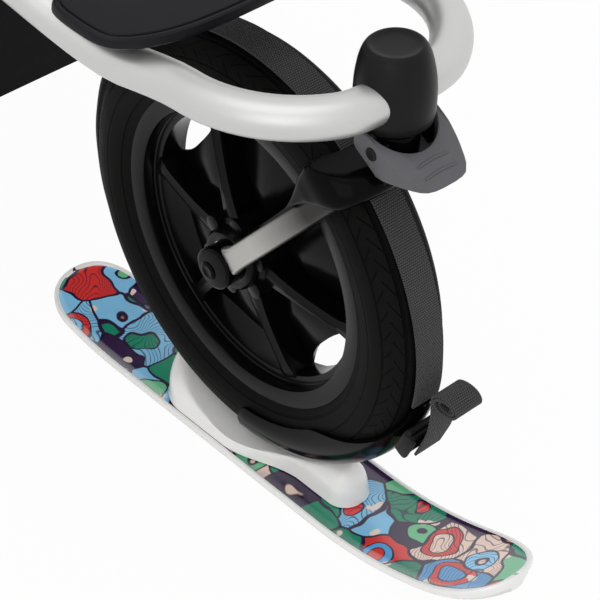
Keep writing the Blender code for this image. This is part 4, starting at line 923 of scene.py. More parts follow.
# crown: an arch over the legs; its front and back face and its half width change along the legs
crownSet = {"x": 0.0385, "low": 0.117, "bend": 0.150, "crest": 0.0218, "power": 2 / 3.2, "top": 0.1318,
            "lowFace": ((0.117, 0.0062), (0.126, 0.0052), (0.140, 0.0016), (0.153, -0.0068), (0.160, -0.0112),
                        (0.171, -0.0148)),
            "highFace": ((0.117, 0.0072), (0.122, 0.0085), (0.130, 0.0112), (0.139, 0.0155), (0.148, 0.0198),
                         (0.158, 0.0220)),
            "half": ((0.117, 0.0056), (0.128, 0.0068), (0.144, 0.0080), (0.150, 0.0080), (0.170, 0.0100)),
            "boss": [(0.1200, 0.0120), (0.1200, 0.0144), (0.1312, 0.0145), (0.1317, 0.0141), (0.1317, 0.0120)],
            "bossY": -0.118, "bolt": (0.164, -0.002)}


def between(value, stops):
    for (x0, y0), (x1, y1) in zip(stops, stops[1:]):
        if value <= x1:
            return y0 + (y1 - y0) * max(0.0, (value - x0) / (x1 - x0))
    return stops[-1][1]


def crownPart(values):
    low, bend, power = values["low"], values["bend"], values["power"]
    path = [Vector((values["x"], low + (bend - low) * k / 14)) for k in range(14)]
    for k in range(25):
        angle = math.radians(90) * k / 24
        path.append(Vector((values["x"] * math.cos(angle) ** power,
                            bend + values["crest"] * math.sin(angle) ** power)))
    path += [Vector((-p.x, p.y)) for p in reversed(path[:-1])]
    rows = []
    for k, p in enumerate(path):
        run = runAt(path, k)
        outward = Vector((run.y, -run.x))
        under, over, half = (between(p.y, values[key]) for key in ("lowFace", "highFace", "half"))
        row = []
        for c, s in circle(40):
            spot = p + outward * half * squared(c, 0.62)
            point = forkPoint(spot.y, (under + over) / 2 + (over - under) / 2 * squared(s, 0.62), spot.x)
            point.z = min(point.z, values["top"])
            row.append(point)
        rows.append(row)
    return loft(rows)


# ears on the crown that carry the lock lever's pin
earSet = {"levels": ((0.0150, 0.0004), (0.0153, 0), (0.0192, 0), (0.0195, 0.0004)), "front": -0.1300,
          "foot": 0.1200, "top": 0.1475, "back": ((-0.1180, 0.1330), (-0.1180, 0.1200))}


def earPart(sign, values):
    rows = []
    for x, inset in values["levels"]:
        outline = [(values["front"] + inset, values["foot"]), (values["front"] + inset, values["top"])]
        for degrees in range(0, 181, 20):
            angle = math.radians(degrees)
            outline.append((values["front"] + 0.003 - (0.003 - inset) * math.cos(angle),
                            values["top"] + 0.0005 + (0.0033 - inset) * math.sin(angle)))
        rows.append([Vector((sign * x, y, z)) for y, z in (*outline, *values["back"])])
    return loft(rows)


axleNut = [(0.0428, 0.0050), (0.0430, 0.0060), (0.0436, 0.0064), (0.0448, 0.0064), (0.0456, 0.0054),
           (0.0457, 0.0034), (0.0453, 0.0028), (0.0453, 0.0010)]


def dressFork():
    for side, sign in sides:
        addPiece("forkLeg" + side.title(), forkLeg(sign, forkSet), "leg", "caster", ["fork_leg_" + side], frontAxle)
    addPiece("frontAxleBolt", post([(-h, r) for h, r in reversed(axleNut)] + axleNut, 40), "gloss", "caster",
             ["front_axle"], frontAxle)
    boss = shifted(post(crownSet["boss"], 56, "Z"), 0, crownSet["bossY"], 0)
    addPiece("forkCrown", [crownPart(crownSet), boss, earPart(-1, earSet), earPart(1, earSet)], "gloss", "caster",
             ["fork_crown"], frontAxle, 50)
    for side, sign in sides:
        addPiece("axleCap" + side.title(), axleCap(sign, axleCapSet), "gloss", "caster", (), frontAxle)
    addPiece("crownBolt", rod(0.0440, 0.0024, 0.0002, 0.0014, 24), "dark", "caster", ["crown_bolt"],
             frontAxle + forkPoint(*crownSet["bolt"]))


# swivel housing on the frame and the collar of the caster below it
housingSet = {"profile": [(0.1503, 0.0100), (0.1503, 0.0142), (0.1508, 0.0146), (0.1545, 0.0147), (0.1548, 0.0190),
                          (0.1553, 0.0208), (0.1570, 0.0223), (0.1620, 0.0232), (0.1700, 0.0235), (0.1762, 0.0235),
                          (0.1830, 0.0230), (0.1885, 0.0222), (0.1935, 0.0212), (0.1975, 0.0201), (0.2005, 0.0189),
                          (0.2026, 0.0176), (0.2037, 0.0164), (0.2040, 0.0154), (0.2038, 0.0144), (0.2030, 0.0130),
                          (0.2027, 0.0100), (0.2026, 0.0004)],
              "collar": [(0.1322, 0.0120), (0.1322, 0.0143), (0.1328, 0.0146), (0.1492, 0.0146), (0.1497, 0.0142),
                         (0.1497, 0.0120)]}


def dressHousing(values):
    addPiece("swivelHousing", post(values["profile"], 96, "Z"), "dark", "frame",
             ["swivel_housing", "housing_cap"], swivel, 50)
    addPiece("swivelCollar", post(values["collar"], 64, "Z"), "gloss", "caster", ["swivel_bearing"], swivel)


# the lever is a wedge with a round cut for the housing; y runs from the swivel axis
leverSet = {"hole": 0.0240, "half": 0.0262, "tip": -0.0445, "low": 0.1330, "slopeEnd": -0.0067,
            "slopeEndTop": 0.1567, "slope": 0.6009, "back": 0.008, "rear": 0.0052,
            "edge": [(0.0003, -0.017), (0.0012, -0.021), (0.0026, -0.026), (0.0044, -0.031), (0.0066, -0.036),
                     (0.0086, -0.0395), (0.0116, -0.0424), (0.0160, -0.0439), (0.0215, -0.0445)],
            "ribs": ((-0.0298, 0.0122), (-0.0366, 0.0126)), "pivot": (-0.009, 0.1475),
            "cap": [(0.0232, 0.0030), (0.0262, 0.0042), (0.0267, 0.0040), (0.0268, 0.0020), (0.0264, 0.0016),
                    (0.0264, 0.0002)]}


def leverHeights(y, values):
    centreY, centreZ = values["slopeEnd"] + 0.0041, values["slopeEndTop"] - 0.0069
    bulge = math.sqrt(max(0.0, values["back"] ** 2 - (y - centreY) ** 2))
    top = values["slopeEndTop"] + values["slope"] * (y - values["slopeEnd"])
    if y > values["slopeEnd"]:
        top = centreZ + bulge
    low = values["low"] + max(0.0, y + 0.013) * 0.69
    if y > 0.0014:
        low = centreZ - bulge
    return low, max(top, low + 0.0008)


def leverPart(values):
    half, hole, tip, rear = values["half"], values["hole"], values["tip"], values["rear"]
    right = [(hole, rear * t) for t in (0.3, 0.6, 0.85, 0.98)]
    right += [(half, rear * t) for t in (0.98, 0.85, 0.6, 0.3, 0, -0.4, -0.9, -1.6, -2.4)]
    right += [(half - inward, y) for inward, y in values["edge"]]
    left = [(-x, y) for x, y in reversed(right)]
    recess = [(hole * math.cos(math.radians(a)), hole * math.sin(math.radians(a))) for a in range(186, 360, 6)]

    def shape(x, y, share):
        low, top = leverHeights(min(max(y, tip), rear), values)
        return Vector((x, y, low + (top - low) * share))
    levels = ((0, 0.0008), (0.04, 0.0002), (0.12, 0), (0.90, 0), (0.97, 0.0002), (1, 0.0009))
    return loft([[shape(p[0], p[1], share) for p in offset(right + left + recess, inset)]
                 for share, inset in levels])


def dressLever(values):
    parts = [leverPart(values)]
    for y, reach in values["ribs"]:
        path = []
        for u in [-1 + 2 * k / 16 for k in range(17)]:
            back = y - 0.0012 * u * u
            path.append(Vector((u * reach, back, leverHeights(back, values)[1] + 0.0001)))
        parts.append(sweep(path, lambda t: 0.0010 * math.sqrt(max(0.02, 1 - (2 * t - 1) ** 4)), 0.0008, 10))
    addPiece("lockLever", parts, "slate", "lock_lever", ["swivel_lock_lever"], swivel, 35)
    caps = [shifted(sided(post(values["cap"], 32), sign), 0, *values["pivot"]) for sign in (-1, 1)]
    addPiece("leverPivot", caps, "dark", "caster", ["lever_pin"], swivel)


dressFork()
dressHousing(housingSet)
dressLever(leverSet)
print("fork, housing and lever dressed")


# main tube: an arch at the nose, then two arms that splay and rise; y runs from the front axle
tubeSet = {"radius": 0.0127, "noseY": -0.1262, "half": 0.0853, "height": 0.1742, "splay": 0.3157, "rise": 0.58725,
           "riseStart": 0.0024, "blend": 0.03, "end": 0.388, "setBack": 0.0060, "setBackHalf": 0.042}


def blendRise(distance, values):
    distance = max(distance, 0.0)
    return distance * distance / (distance + values["blend"])


def armPoint(sign, y, values):
    x = values["half"] + values["splay"] * blendRise(y - values["noseY"] - values["half"], values)
    return Vector((sign * x, y, values["height"] + values["rise"] * blendRise(y - values["riseStart"], values)))


def tubePath(values):
    half = []
    for k in range(24):
        angle = math.radians(90) * k / 24
        y = values["noseY"] + values["half"] * (1 - math.cos(angle))
        x = values["half"] * math.sin(angle)
        back = values["setBack"] * max(0.0, 1 - (x / values["setBackHalf"]) ** 2) ** 2
        half.append(Vector((x, y + back, armPoint(1, y, values).z)))
    start = values["noseY"] + values["half"]
    half += [armPoint(1, start + (values["end"] - start) * k / 40, values) for k in range(41)]
    return [Vector((-p.x, p.y, p.z)) for p in reversed(half[1:])] + half


# footrest plate: the levels go up its edge, over the lip and down to the field inside it
footrestSet = {"half": 0.114, "rearHalf": 0.121, "front": -0.0262, "rear": 0.044, "bow": 0.0197, "rearBow": 0.004,
               "levels": ((-0.0050, 0.0040), (-0.0044, 0.0014), (-0.0024, 0), (0.0016, 0), (0.0032, 0.0007),
                          (0.0040, 0.0020), (0.0039, 0.0030), (0.0030, 0.0036), (0.0030, 0.0044),
                          (0.0041, 0.0050), (0.0042, 0.0062)),
               "field": (0.95, 0.86, 0.72, 0.54, 0.34, 0.14, 0.01), "top": 0.0042, "dome": 0.0009,
               "rounds": 9, "lift": 0.0069}


def footrestPart(values):
    wide, rearWide, front, rear = (values[key] for key in ("half", "rearHalf", "front", "rear"))
    frontZ, rearZ = (armPoint(1, y, tubeSet).z + tubeSet["radius"] for y in (front, rear))
    tilt = math.atan2(rearZ - frontZ, rear - front)
    middle = (front + rear) / 2
    xs = [k / 28 - 1 for k in range(57)]
    near, far = front + values["bow"] - middle, rear - values["rearBow"] - middle
    flank = [(wide + (rearWide - wide) * k / 10, near + (far - near) * k / 10) for k in range(1, 10)]
    outline = [(x * wide, front + values["bow"] * x ** 4 - middle) for x in xs] + flank
    outline += [(x * rearWide, rear - values["rearBow"] * x ** 4 - middle) for x in reversed(xs)]
    outline += [(-x, y) for x, y in reversed(flank)]
    for k in range(values["rounds"]):  # each round softens the corners
        outline = [((a[0] + 2 * b[0] + c[0]) / 4, (a[1] + 2 * b[1] + c[1]) / 4)
                   for a, b, c in zip(outline[-1:] + outline[:-1], outline, outline[1:] + outline[:1])]
    rows = [[Vector((p[0], p[1], z)) for p in offset(outline, inset)] for z, inset in values["levels"]]
    rim = rows[-1]
    for t in values["field"]:
        rows.append([Vector((p.x * (0.70 + 0.30 * t), p.y * t, values["top"] + values["dome"] * (1 - t * t)))
                     for p in rim])
    place = Matrix.Translation((0, middle, (frontZ + rearZ) / 2 + values["lift"] / math.cos(tilt)))
    return moved(loft(rows), place @ Matrix.Rotation(tilt, 4, "X"))


# fold hubs at the top of the arms, their buttons and the sleeve that takes the arm
hubSet = {"profile": [(0.1936, 0.0060), (0.1936, 0.0305), (0.1951, 0.0330), (0.1976, 0.0340), (0.2120, 0.0340),
                      (0.2126, 0.0333), (0.2134, 0.0333), (0.2140, 0.0340), (0.2308, 0.0340), (0.2333, 0.0330),
                      (0.2348, 0.0305), (0.2348, 0.0060)],
          "button": [(0.2611, 0.0052), (0.2611, 0.0086), (0.2618, 0.0092), (0.2640, 0.0090), (0.2648, 0.0080),
                     (0.2644, 0.0050), (0.2644, 0.0004)],
          "sleeve": (0.0150, 0.0166, 0.0170, 0.0176, 0.0182), "along": (-0.002, -0.001, 0.006, 0.016, 0.028),
          "sleeveStart": 0.352, "fromAxle": Vector((0, 0.40, 0.39131))}


def hubParts(sign, values):
    end, before = armPoint(sign, tubeSet["end"], tubeSet), armPoint(sign, values["sleeveStart"], tubeSet)
    run = (end - before).normalized()
    base = before - values["fromAxle"]
    sleeve = sweep([base + run * d for d in values["along"]], lambda t: values["sleeve"][round(t * 4)], None, 40)
    return [sided(post(values["profile"], 72), sign), sleeve]


def dressFrame():
    addPiece("frontFrameTube", sweep(tubePath(tubeSet), tubeSet["radius"], None, 40), "satin", "frame",
             ["front_frame_tube"], frontAxle)
    addPiece("footrestPlate", footrestPart(footrestSet), "footrest", "frame", ["footrest_plate"], frontAxle, 30)
    for side, sign in sides:
        addPiece("foldHub" + side.title(), hubParts(sign, hubSet), "dark", "frame", ["fold_hub_" + side], foldPoint)
        addPiece("foldPin" + side.title(), sided(post(hubSet["button"], 40), sign), "steel", "frame",
                 ["fold_pin_" + side], foldPoint)
    addPiece("reclineTube", rod(0.1734, 0.0100, 0.0004, 0.0002, 32), "steel", "frame", ["recline_tube"], foldPoint)
    addPiece("seatCrossbar", rod(0.1520, 0.0090, 0.0004, 0.0002, 32, (0, -0.0815, 0.46269)), "steel", "frame",
             ["seat_crossbar"])


dressFrame()
print("frame dressed")


# rear legs with their hubs and feet, axle and brake pedal; profiles are for the right side
rearSet = {"legX": 0.18355, "leg": 0.0098, "stops": (0.03, 0.30, 0.6, 0.9, 0.972), "back": 0.26,
           "disc": [(0.1741, 0.0050), (0.1741, 0.0245), (0.1752, 0.0265), (0.1768, 0.0270), (0.1908, 0.0270),
                    (0.1922, 0.0265), (0.1933, 0.0245), (0.1933, 0.0050)],
           "foot": [(0.1736, 0.0124), (0.1736, 0.0160), (0.1745, 0.0168), (0.1928, 0.0168), (0.1935, 0.0160),
                    (0.1935, 0.0124)],
           "stub": [(0.2328, 0.0060), (0.2328, 0.0110), (0.2395, 0.0110), (0.2395, 0.0060), (0.3005, 0.0060),
                    (0.3005, 0.0108), (0.3058, 0.0108), (0.3066, 0.0098), (0.3066, 0.0010)]}
pedalSet = {"low": (-0.022, 0.0125), "high": (0.022, 0.078), "thick": 0.004, "ribs": 5, "ribY": 0.034,
            "ribPitch": 0.009, "ribHalf": (0.017, 0.0018),
            "collar": [(0.0123, -0.0196), (0.0176, -0.0196), (0.0180, -0.0188), (0.0180, 0.0188),
                       (0.0176, 0.0196), (0.0123, 0.0196)]}


def dressRear(values):
    drop = Vector((0, values["back"], axleHeight - foldPoint.z))
    for side, sign in sides:
        path = [Vector((sign * values["legX"], 0, 0)) + drop * t for t in values["stops"]]
        parts = [sweep(path, values["leg"], None, 28), sided(post(values["disc"], 48), sign)]
        addPiece("rearLeg" + side.title(), parts, "satin", "rear_legs", ["rear_leg_" + side], foldPoint)
        addPiece("legFoot" + side.title(), shifted(sided(post(values["foot"], 40), sign), *drop), "dark",
                 "rear_legs", (), foldPoint)
    addPiece("rearBeam", rod(0.2325, 0.0120, 0.0007, 0.0020, 40), "steel", "rear_legs", ["rear_axle_beam"], rearAxle)
    for side, sign in sides:
        addPiece("rearStub" + side.title(), sided(post(values["stub"], 32), sign), "steel", "rear_legs",
                 ["rear_axle_" + side], rearAxle)


def dressPedal(values):
    wide, narrow = values["ribHalf"]
    rib = slab(roundBox((-wide, -narrow), (wide, narrow), 0.0016), 0.0036, 0.0050, 0.0004)
    tread = [shifted(rib, 0, values["ribY"] + values["ribPitch"] * k, 0) for k in range(values["ribs"])]
    plate = slab(roundBox(values["low"], values["high"], 0.008), -values["thick"], values["thick"], 0.0015)
    addPiece("brakePedal", [plate, turned(values["collar"], 48)] + tread, "slate", "brake_pedal", ["brake_pedal"],
             rearAxle)


# push bar with its discs, and the handle with its grip; profiles are for the right side
pushSet = {"x": 0.2483, "tube": 0.0118, "stops": (0.02, 0.2, 0.4, 0.52), "hinge": 0.535,
           "low": [(0.2360, 0.0055), (0.2360, 0.0310), (0.2372, 0.0333), (0.2392, 0.0340), (0.2576, 0.0340),
                   (0.2596, 0.0333), (0.2608, 0.0310), (0.2608, 0.0240), (0.2600, 0.0232), (0.2600, 0.0100),
                   (0.2604, 0.0055)],
           "high": [(0.2360, 0.0050), (0.2360, 0.0175), (0.2368, 0.0187), (0.2380, 0.0190), (0.2586, 0.0190),
                    (0.2600, 0.0184), (0.2607, 0.0165), (0.2607, 0.0120), (0.2600, 0.0112), (0.2600, 0.0010)]}
handleSet = {"half": 0.2230, "straight": 0.183, "rise": 0.08, "round": 0.04, "tube": 0.0118,
             "disc": [(0.2106, 0.0052), (0.2106, 0.0175), (0.2114, 0.0187), (0.2126, 0.0190), (0.2340, 0.0190),
                      (0.2352, 0.0183), (0.2354, 0.0052)],
             "gripEnd": [(0.0165, 0.1490), (0.0158, 0.1500), (0.0121, 0.1495)], "gripHalf": 0.146, "gripRings": 48}


def dressPush(values):
    line = Vector((0, math.cos(pushAngle), math.sin(pushAngle)))
    hinge = line * values["hinge"]
    for side, sign in sides:
        tube = sweep([Vector((sign * values["x"], 0, 0)) + line * d for d in values["stops"]], values["tube"],
                     None, 32)
        addPiece("pushTube" + side.title(), tube, "satin", "push_bar", (), foldPoint)
        joints = [sided(post(values["low"], 64), sign), shifted(sided(post(values["high"], 48), sign), *hinge)]
        addPiece("pushJoints" + side.title(), joints, "dark", "push_bar", ["push_tube_" + side], foldPoint)
    return line, foldPoint + hinge


def dressHandle(values, line, where):
    half = [Vector((values["half"], 0, 0))]
    for k in range(17):
        angle = math.radians(90) * k / 16
        half.append(Vector((values["straight"] + values["round"] * math.cos(angle), 0, 0))
                    + line * (values["rise"] + values["round"] * math.sin(angle)))
    path = half + [Vector((-p.x, p.y, p.z)) for p in reversed(half)]
    addPiece("handleBar", sweep(path, values["tube"], None, 32), "satin", "handle", (), where)
    discs = [sided(post(values["disc"], 48), sign) for sign in (-1, 1)]
    addPiece("handleJoints", discs, "dark", "handle", ["handle_bar"], where)
    end, reach, rings = values["gripEnd"], values["gripHalf"], values["gripRings"]
    foam = [(0.0164 + 0.0002 * math.cos(k * math.pi), -reach + 2 * reach * k / rings) for k in range(rings + 1)]
    addPiece("handleGrip", turned([(r, -x) for r, x in reversed(end)] + foam + end, 48), "foam", "handle",
             ["handle_grip"], where + line * (values["rise"] + values["round"]))


dressRear(rearSet)
dressPedal(pedalSet)
pushLine, handleHinge = dressPush(pushSet)
dressHandle(handleSet, pushLine, handleHinge)
print("rear legs and handle dressed")


# cushions: a flat closed pillow, evened, puffed by a cloth run, seamed and kept inside its solid's box
puffSet = {"voxel": 0.005, "frames": 20, "pressure": 4.0, "stiff": 20, "quality": 5, "seamDeep": 0.0045,
           "seamHalf": 0.0028, "fill": 0.7}


def applyAll(piece):
    graph = bpy.context.evaluated_depsgraph_get()
    mesh = bpy.data.meshes.new_from_object(piece.evaluated_get(graph))
    piece.modifiers.clear()
    piece.data = mesh


def puff(piece, cap, values):
    remesh = piece.modifiers.new("even", "REMESH")
    remesh.mode, remesh.voxel_size, remesh.use_smooth_shade = "VOXEL", values["voxel"], True
    applyAll(piece)
    before = [v.co.copy() for v in piece.data.vertices]
    cloth = piece.modifiers.new("puff", "CLOTH").settings
    cloth.use_pressure = True
    cloth.uniform_pressure_force = values["pressure"]
    cloth.effector_weights.gravity = 0
    cloth.quality = values["quality"]
    cloth.tension_stiffness = values["stiff"]
    for f in range(1, values["frames"] + 1):
        bpy.context.scene.frame_set(f)
    applyAll(piece)
    bpy.context.scene.frame_set(1)
    for vert, old in zip(piece.data.vertices, before):
        move = vert.co - old
        if move.length > cap:
            vert.co = old + move * (cap / move.length)


def pillow(half, length, thick, columns, count):
    rows = []
    for k in range(count + 1):
        v = -1 + 2 * k / count
        top, bottom = [], []
        for j in range(columns + 1):
            u = -1 + 2 * j / columns
            x, y = half * u * (1 - 0.03 * (1 - v * v)), length / 2 * v * (1 - 0.03 * (1 - u * u))
            lift = thick / 2 * max(0.16, (1 - abs(u) ** 5) * (1 - abs(v) ** 5)) ** 0.5
            top.append(Vector((x, y, lift)))
            bottom.append(Vector((x, y, -lift)))
        rows.append(top + bottom[::-1])
    return loft(rows)


def addCushion(name, part, cap, seams, limits, matrix, body, node, values):
    piece = link(bpy.data.objects.new(name, newMesh(name, part[0], part[1])))
    puff(piece, cap, values)
    smooth = piece.modifiers.new("smooth", "SUBSURF")
    smooth.levels = smooth.render_levels = 1
    applyAll(piece)
    for vert in piece.data.vertices:
        p = vert.co
        if p.z > 0:
            for seam in seams:
                p.z -= values["seamDeep"] * math.exp(-(seam(p) / values["seamHalf"]) ** 2)
        for axis, (reach, over) in enumerate(limits):
            p[axis] = max(-reach, min(reach + over, p[axis]))
    piece.data.transform(matrix)
    piece.data.materials.clear()
    piece.data.materials.append(finishes["padCloth"].material)
    piece.data.shade_smooth()
    register(piece, body, [node])
    return piece


# seat: a board with ears on the recline tube, and its cushion
seatSet = {"boardLow": 0.47199, "boardThick": 0.006, "board": ((-0.146, -0.1615), (0.146, 0.0635)),
           "half": 0.142, "front": -0.1585, "back": 0.0235, "low": 0.47830, "high": 0.50730, "cap": 0.007,
           "earX": 0.1430, "earRadius": 0.0165, "seamX": 0.060, "seamY": (-0.03, 0.048)}


def dressSeat(values):
    low = values["boardLow"]
    board = slab(roundBox(*values["board"], 0.012), low, low + values["boardThick"], 0.0012)
    outline = [(0.0575, low + 0.004), (0.0935, low + 0.030)]
    for degrees in [-10 + 200 * k / 14 for k in range(15)]:
        angle = math.radians(degrees)
        outline.append((foldPoint.y + values["earRadius"] * math.cos(angle),
                        foldPoint.z + values["earRadius"] * math.sin(angle)))
    ear = slab(outline + [(0.0535, low + 0.030)], -0.0025, 0.0025, 0.0008)
    ears = [moved(ear, Matrix(((0, 0, 1, sign * values["earX"]), (1, 0, 0, 0), (0, 1, 0, 0), (0, 0, 0, 1))))
            for sign in (-1, 1)]
    addPiece("seatBoard", [board] + ears, "dark", "frame", ["seat_board"])
    middle = Vector((0, (values["front"] + values["back"]) / 2, (values["low"] + values["high"]) / 2))
    length, thick = values["back"] - values["front"], values["high"] - values["low"]
    across, (shift, along) = values["seamX"], values["seamY"]
    seams = [lambda p: abs(p.x) - across,
             lambda p: 0.35 * (abs(p.y - shift) - along) if abs(p.x) < across - 0.002 else 1]
    return addCushion("seatCushion", pillow(values["half"] - 0.006, length - 0.012, thick - 0.008, 18, 14),
                      values["cap"], seams, ((values["half"] + 0.0005, 0), (length / 2, 0), (thick / 2, 0.004)),
                      Matrix.Translation(middle), "frame", "seat_cushion", puffSet)


# backrest: built lying down from the fold axis, then leant back
backSet = {"half": 0.140, "foot": 0.008, "length": 0.50, "thick": 0.037, "drop": 0.065, "stand": 0.0218,
           "board": 0.003, "ribs": (-0.09, -0.03, 0.03, 0.09), "ribHalf": 0.004, "ribRun": (0.04, 0.47),
           "ribRise": (-0.0052, -0.0028), "cap": 0.008, "seamX": 0.078, "seamPitch": 0.085,
           "knuckle": [(0.0104, -0.140), (0.0136, -0.140), (0.0140, -0.1392), (0.0140, 0.1392), (0.0136, 0.140),
                       (0.0104, 0.140)],
           "clear": (0.022, -0.0150)}


def dressBack(values):
    lean = Matrix.Translation(foldPoint) @ Matrix.Rotation(backAngle - math.radians(90), 4, "X")
    half, length, thick = values["half"], values["length"], values["thick"]
    flat = [slab(roundBox((-half, values["foot"]), (half, length), 0.02), -values["board"], values["board"],
                 0.0012)]
    for x in values["ribs"]:
        flat.append(slab(roundBox((x - values["ribHalf"], values["ribRun"][0]),
                                  (x + values["ribHalf"], values["ribRun"][1]), 0.003), *values["ribRise"], 0.0006))
    addPiece("backrestBoard", [moved(part, lean @ upright) for part in flat]
             + [shifted(turned(values["knuckle"], 48), *foldPoint)], "dark", "backrest", ["backrest_board"])
    total = length + values["drop"]
    stood = upright.copy()
    stood.translation = (0, -values["stand"], (length - values["drop"]) / 2)
    across, pitch = values["seamX"], values["seamPitch"]
    seams = [lambda p: abs(p.x) - across,
             lambda p: abs((p.y + 0.30) % pitch - pitch / 2) if abs(p.x) < across - 0.002 else 1]
    pad = addCushion("backrestPad", pillow(half - 0.006, total - 0.014, thick - 0.012, 18, 30), values["cap"], seams,
                     ((half + 0.0005, 0), (total / 2, 0), (thick / 2, 0.004)), lean @ stood, "backrest",
                     "backrest_pad", puffSet)
    height, front = values["clear"]  # the pad's foot stays in front of the knuckle
    for vert in pad.data.vertices:
        local = lean.inverted() @ vert.co
        if local.z < height and local.y > front:
            local.y = front
            vert.co = lean @ local
    return pad, lean


# harness: webbing laid on the cushions by rays
harnessSet = {"half": 0.0125, "above": 0.0012, "strap": 0.0015, "crotch": 0.0018, "shoulderX": (0.048, 0.020),
              "shoulderZ": (0.36, 0.33), "padRun": (3, 19), "padHalf": 0.0205, "padThick": 0.0075,
              "padAbove": 0.0030, "stitchX": 0.0165, "stitchAbove": 0.0112, "slider": (0.017, 0.010),
              "sliderAt": 22, "waistX": (0.024, 0.112), "waistY": (-0.0265, 0.040), "crotchY": (-0.1405, 0.088),
              "seatTop": 0.5073, "over": 0.60, "buckle": (0.020, 0.0225), "buckleY": -0.0307, "middleY": -0.0305}


def treeOf(piece):
    return BVHTree.FromPolygons([v.co.copy() for v in piece.data.vertices],
                                [tuple(p.vertices) for p in piece.data.polygons])


def laid(tree, starts, toward, above):  # points just off a surface, where rays from the starts meet it
    hits = [tree.ray_cast(start, toward)[0] for start in starts]
    return [hit - toward * above for hit in hits if hit]


def ribbon(path, normals, half, thick):
    rows = []
    for k, point in enumerate(path):
        aside = runAt(path, k).cross(normals[k]).normalized() * half
        lift = normals[k] * thick
        under = [point + aside * share for share in (-1, -0.5, 0, 0.5, 1)]
        over = [point + aside * share + lift * rise
                for share, rise in ((1, 1), (0.5, 1.15), (0, 1.2), (-0.5, 1.15), (-1, 1))]
        rows.append(under + over)
    return loft(rows)


def dressShoulders(pad, lean, values):
    turn = lean.to_3x3()
    forward, across = (turn @ Vector((0, -1, 0))).normalized(), turn @ alongX
    tree, half, (first, last) = treeOf(pad), values["half"], values["padRun"]
    straps, pads, lines = [], [], []
    for side, sign in sides:
        starts = [lean @ Vector((sign * (values["shoulderX"][0] + values["shoulderX"][1] * t * t), -0.12,
                                 values["shoulderZ"][0] - values["shoulderZ"][1] * t))
                  for t in [k / 30 for k in range(31)]]
        path = laid(tree, starts, -forward, values["above"])
        normals = [forward] * len(path)
        for k in range(2):
            path = [path[0]] + [(a + b * 2 + c) / 4 for a, b, c in zip(path, path[1:], path[2:])] + [path[-1]]
        straps.append(ribbon(path, normals, half, values["strap"]))
        pads.append(ribbon([p + forward * values["padAbove"] for p in path[first:last]], normals[first:last],
                           values["padHalf"], values["padThick"]))
        lines += [[p + forward * values["stitchAbove"] + across * edge * values["stitchX"]
                   for p in path[first:last]] for edge in (-1, 1)]
        wide, tall = values["slider"]
        slider = slab(roundBox((-wide, -tall), (wide, tall), 0.004), 0, 0.005, 0.0014)
        spot = path[values["sliderAt"]] + forward * 0.0016
        addPiece("slider" + side.title(), shifted(moved(slider, turn.to_4x4() @ upright), *spot), "dark", "backrest")
    addPiece("shoulderStraps", straps, "webbing", "backrest")
    addPiece("shoulderPads", pads, "cloth", "backrest", (), atOrigin, 60)
    addStitches("shoulderStitches", lines, "backrest", stitchSet)


def dressHarness(cushion, values):
    tree, down, over, above = treeOf(cushion), -alongZ, values["over"], values["above"]
    waist = []
    for sign in (-1, 1):
        starts = [Vector((sign * (values["waistX"][0] + values["waistX"][1] * t),
                          values["waistY"][0] + values["waistY"][1] * t, over)) for t in [k / 20 for k in range(21)]]
        path = laid(tree, starts, down, above)
        waist.append(ribbon(path, [alongZ] * len(path), values["half"], values["strap"]))
    crotch = []
    for start in [Vector((0, values["crotchY"][0] + values["crotchY"][1] * k / 15, over)) for k in range(16)]:
        crotch += laid(tree, [start], down, above) or [Vector((0, start.y, values["seatTop"] + above))]
    addPiece("waistStraps", waist, "webbing", "frame")
    addPiece("crotchStrap", ribbon(crotch, [alongZ] * 16, values["half"], values["crotch"]), "webbing", "frame",
             ["crotch_strap"])
    top = laid(tree, [Vector((0, values["middleY"], over))], down, 0)
    z = max(top[0].z if top else values["seatTop"], values["seatTop"]) + 0.0014
    outline = [(values["buckle"][0] * squared(c, 0.7), values["buckle"][1] * squared(s, 0.7)) for c, s in circle(40)]
    shell = slab(outline, z, z + 0.0085, 0.0025)
    button = slab([(x * 0.5, y * 0.5 - 0.002) for x, y in outline], z + 0.008, z + 0.0105, 0.0010)
    addPiece("harnessBuckle", [shell, button], "dark", "frame", ["harness_buckle"], (0, values["buckleY"], 0))


cushion = dressSeat(seatSet)
pad, lean = dressBack(backSet)
dressShoulders(pad, lean, harnessSet)
dressHarness(cushion, harnessSet)
print("seat dressed")


# basket: a cloth shell with folds, a bound rim and four straps that hang it
basketSet = {"front": -0.1165, "rear": 0.1785, "half": 0.155, "low": 0.207, "high": 0.335, "taper": 0.012,
             "wall": 0.0022, "corner": 0.022, "sag": 0.003, "levels": 16, "fold": 0.0033, "inset": 0.0030,
             "rimHalf": 0.0022, "rimTall": 0.0062, "hangX": 0.11, "hangHalf": 0.0123, "hangThick": 0.0016,
             "hangers": (((-0.1093, 0.325), (-0.0820, 0.4532), (0, -1, 0.2)),
                         ((0.1745, 0.325), (0.0530, 0.4715), (0, 0.75, 0.6)))}


def basketRing(share, inward, values):
    narrow = values["taper"] * (1 - share)
    inset = narrow + inward
    outline = roundBox((-values["half"] + inset, values["front"] + 0.006 * share + inward),
                       (values["half"] - inset, values["rear"] - narrow - inward), values["corner"], 8)
    return dense([Vector(p) for p in outline], 0.010)


def foldAt(p, share, values):
    along = p.x + p.y * 1.3
    swing = math.sin(along * 34) * 0.6 + math.sin(along * 61 + 1.3) * 0.4
    return values["fold"] * swing * (1 - share) ** 0.6 * share ** 0.3


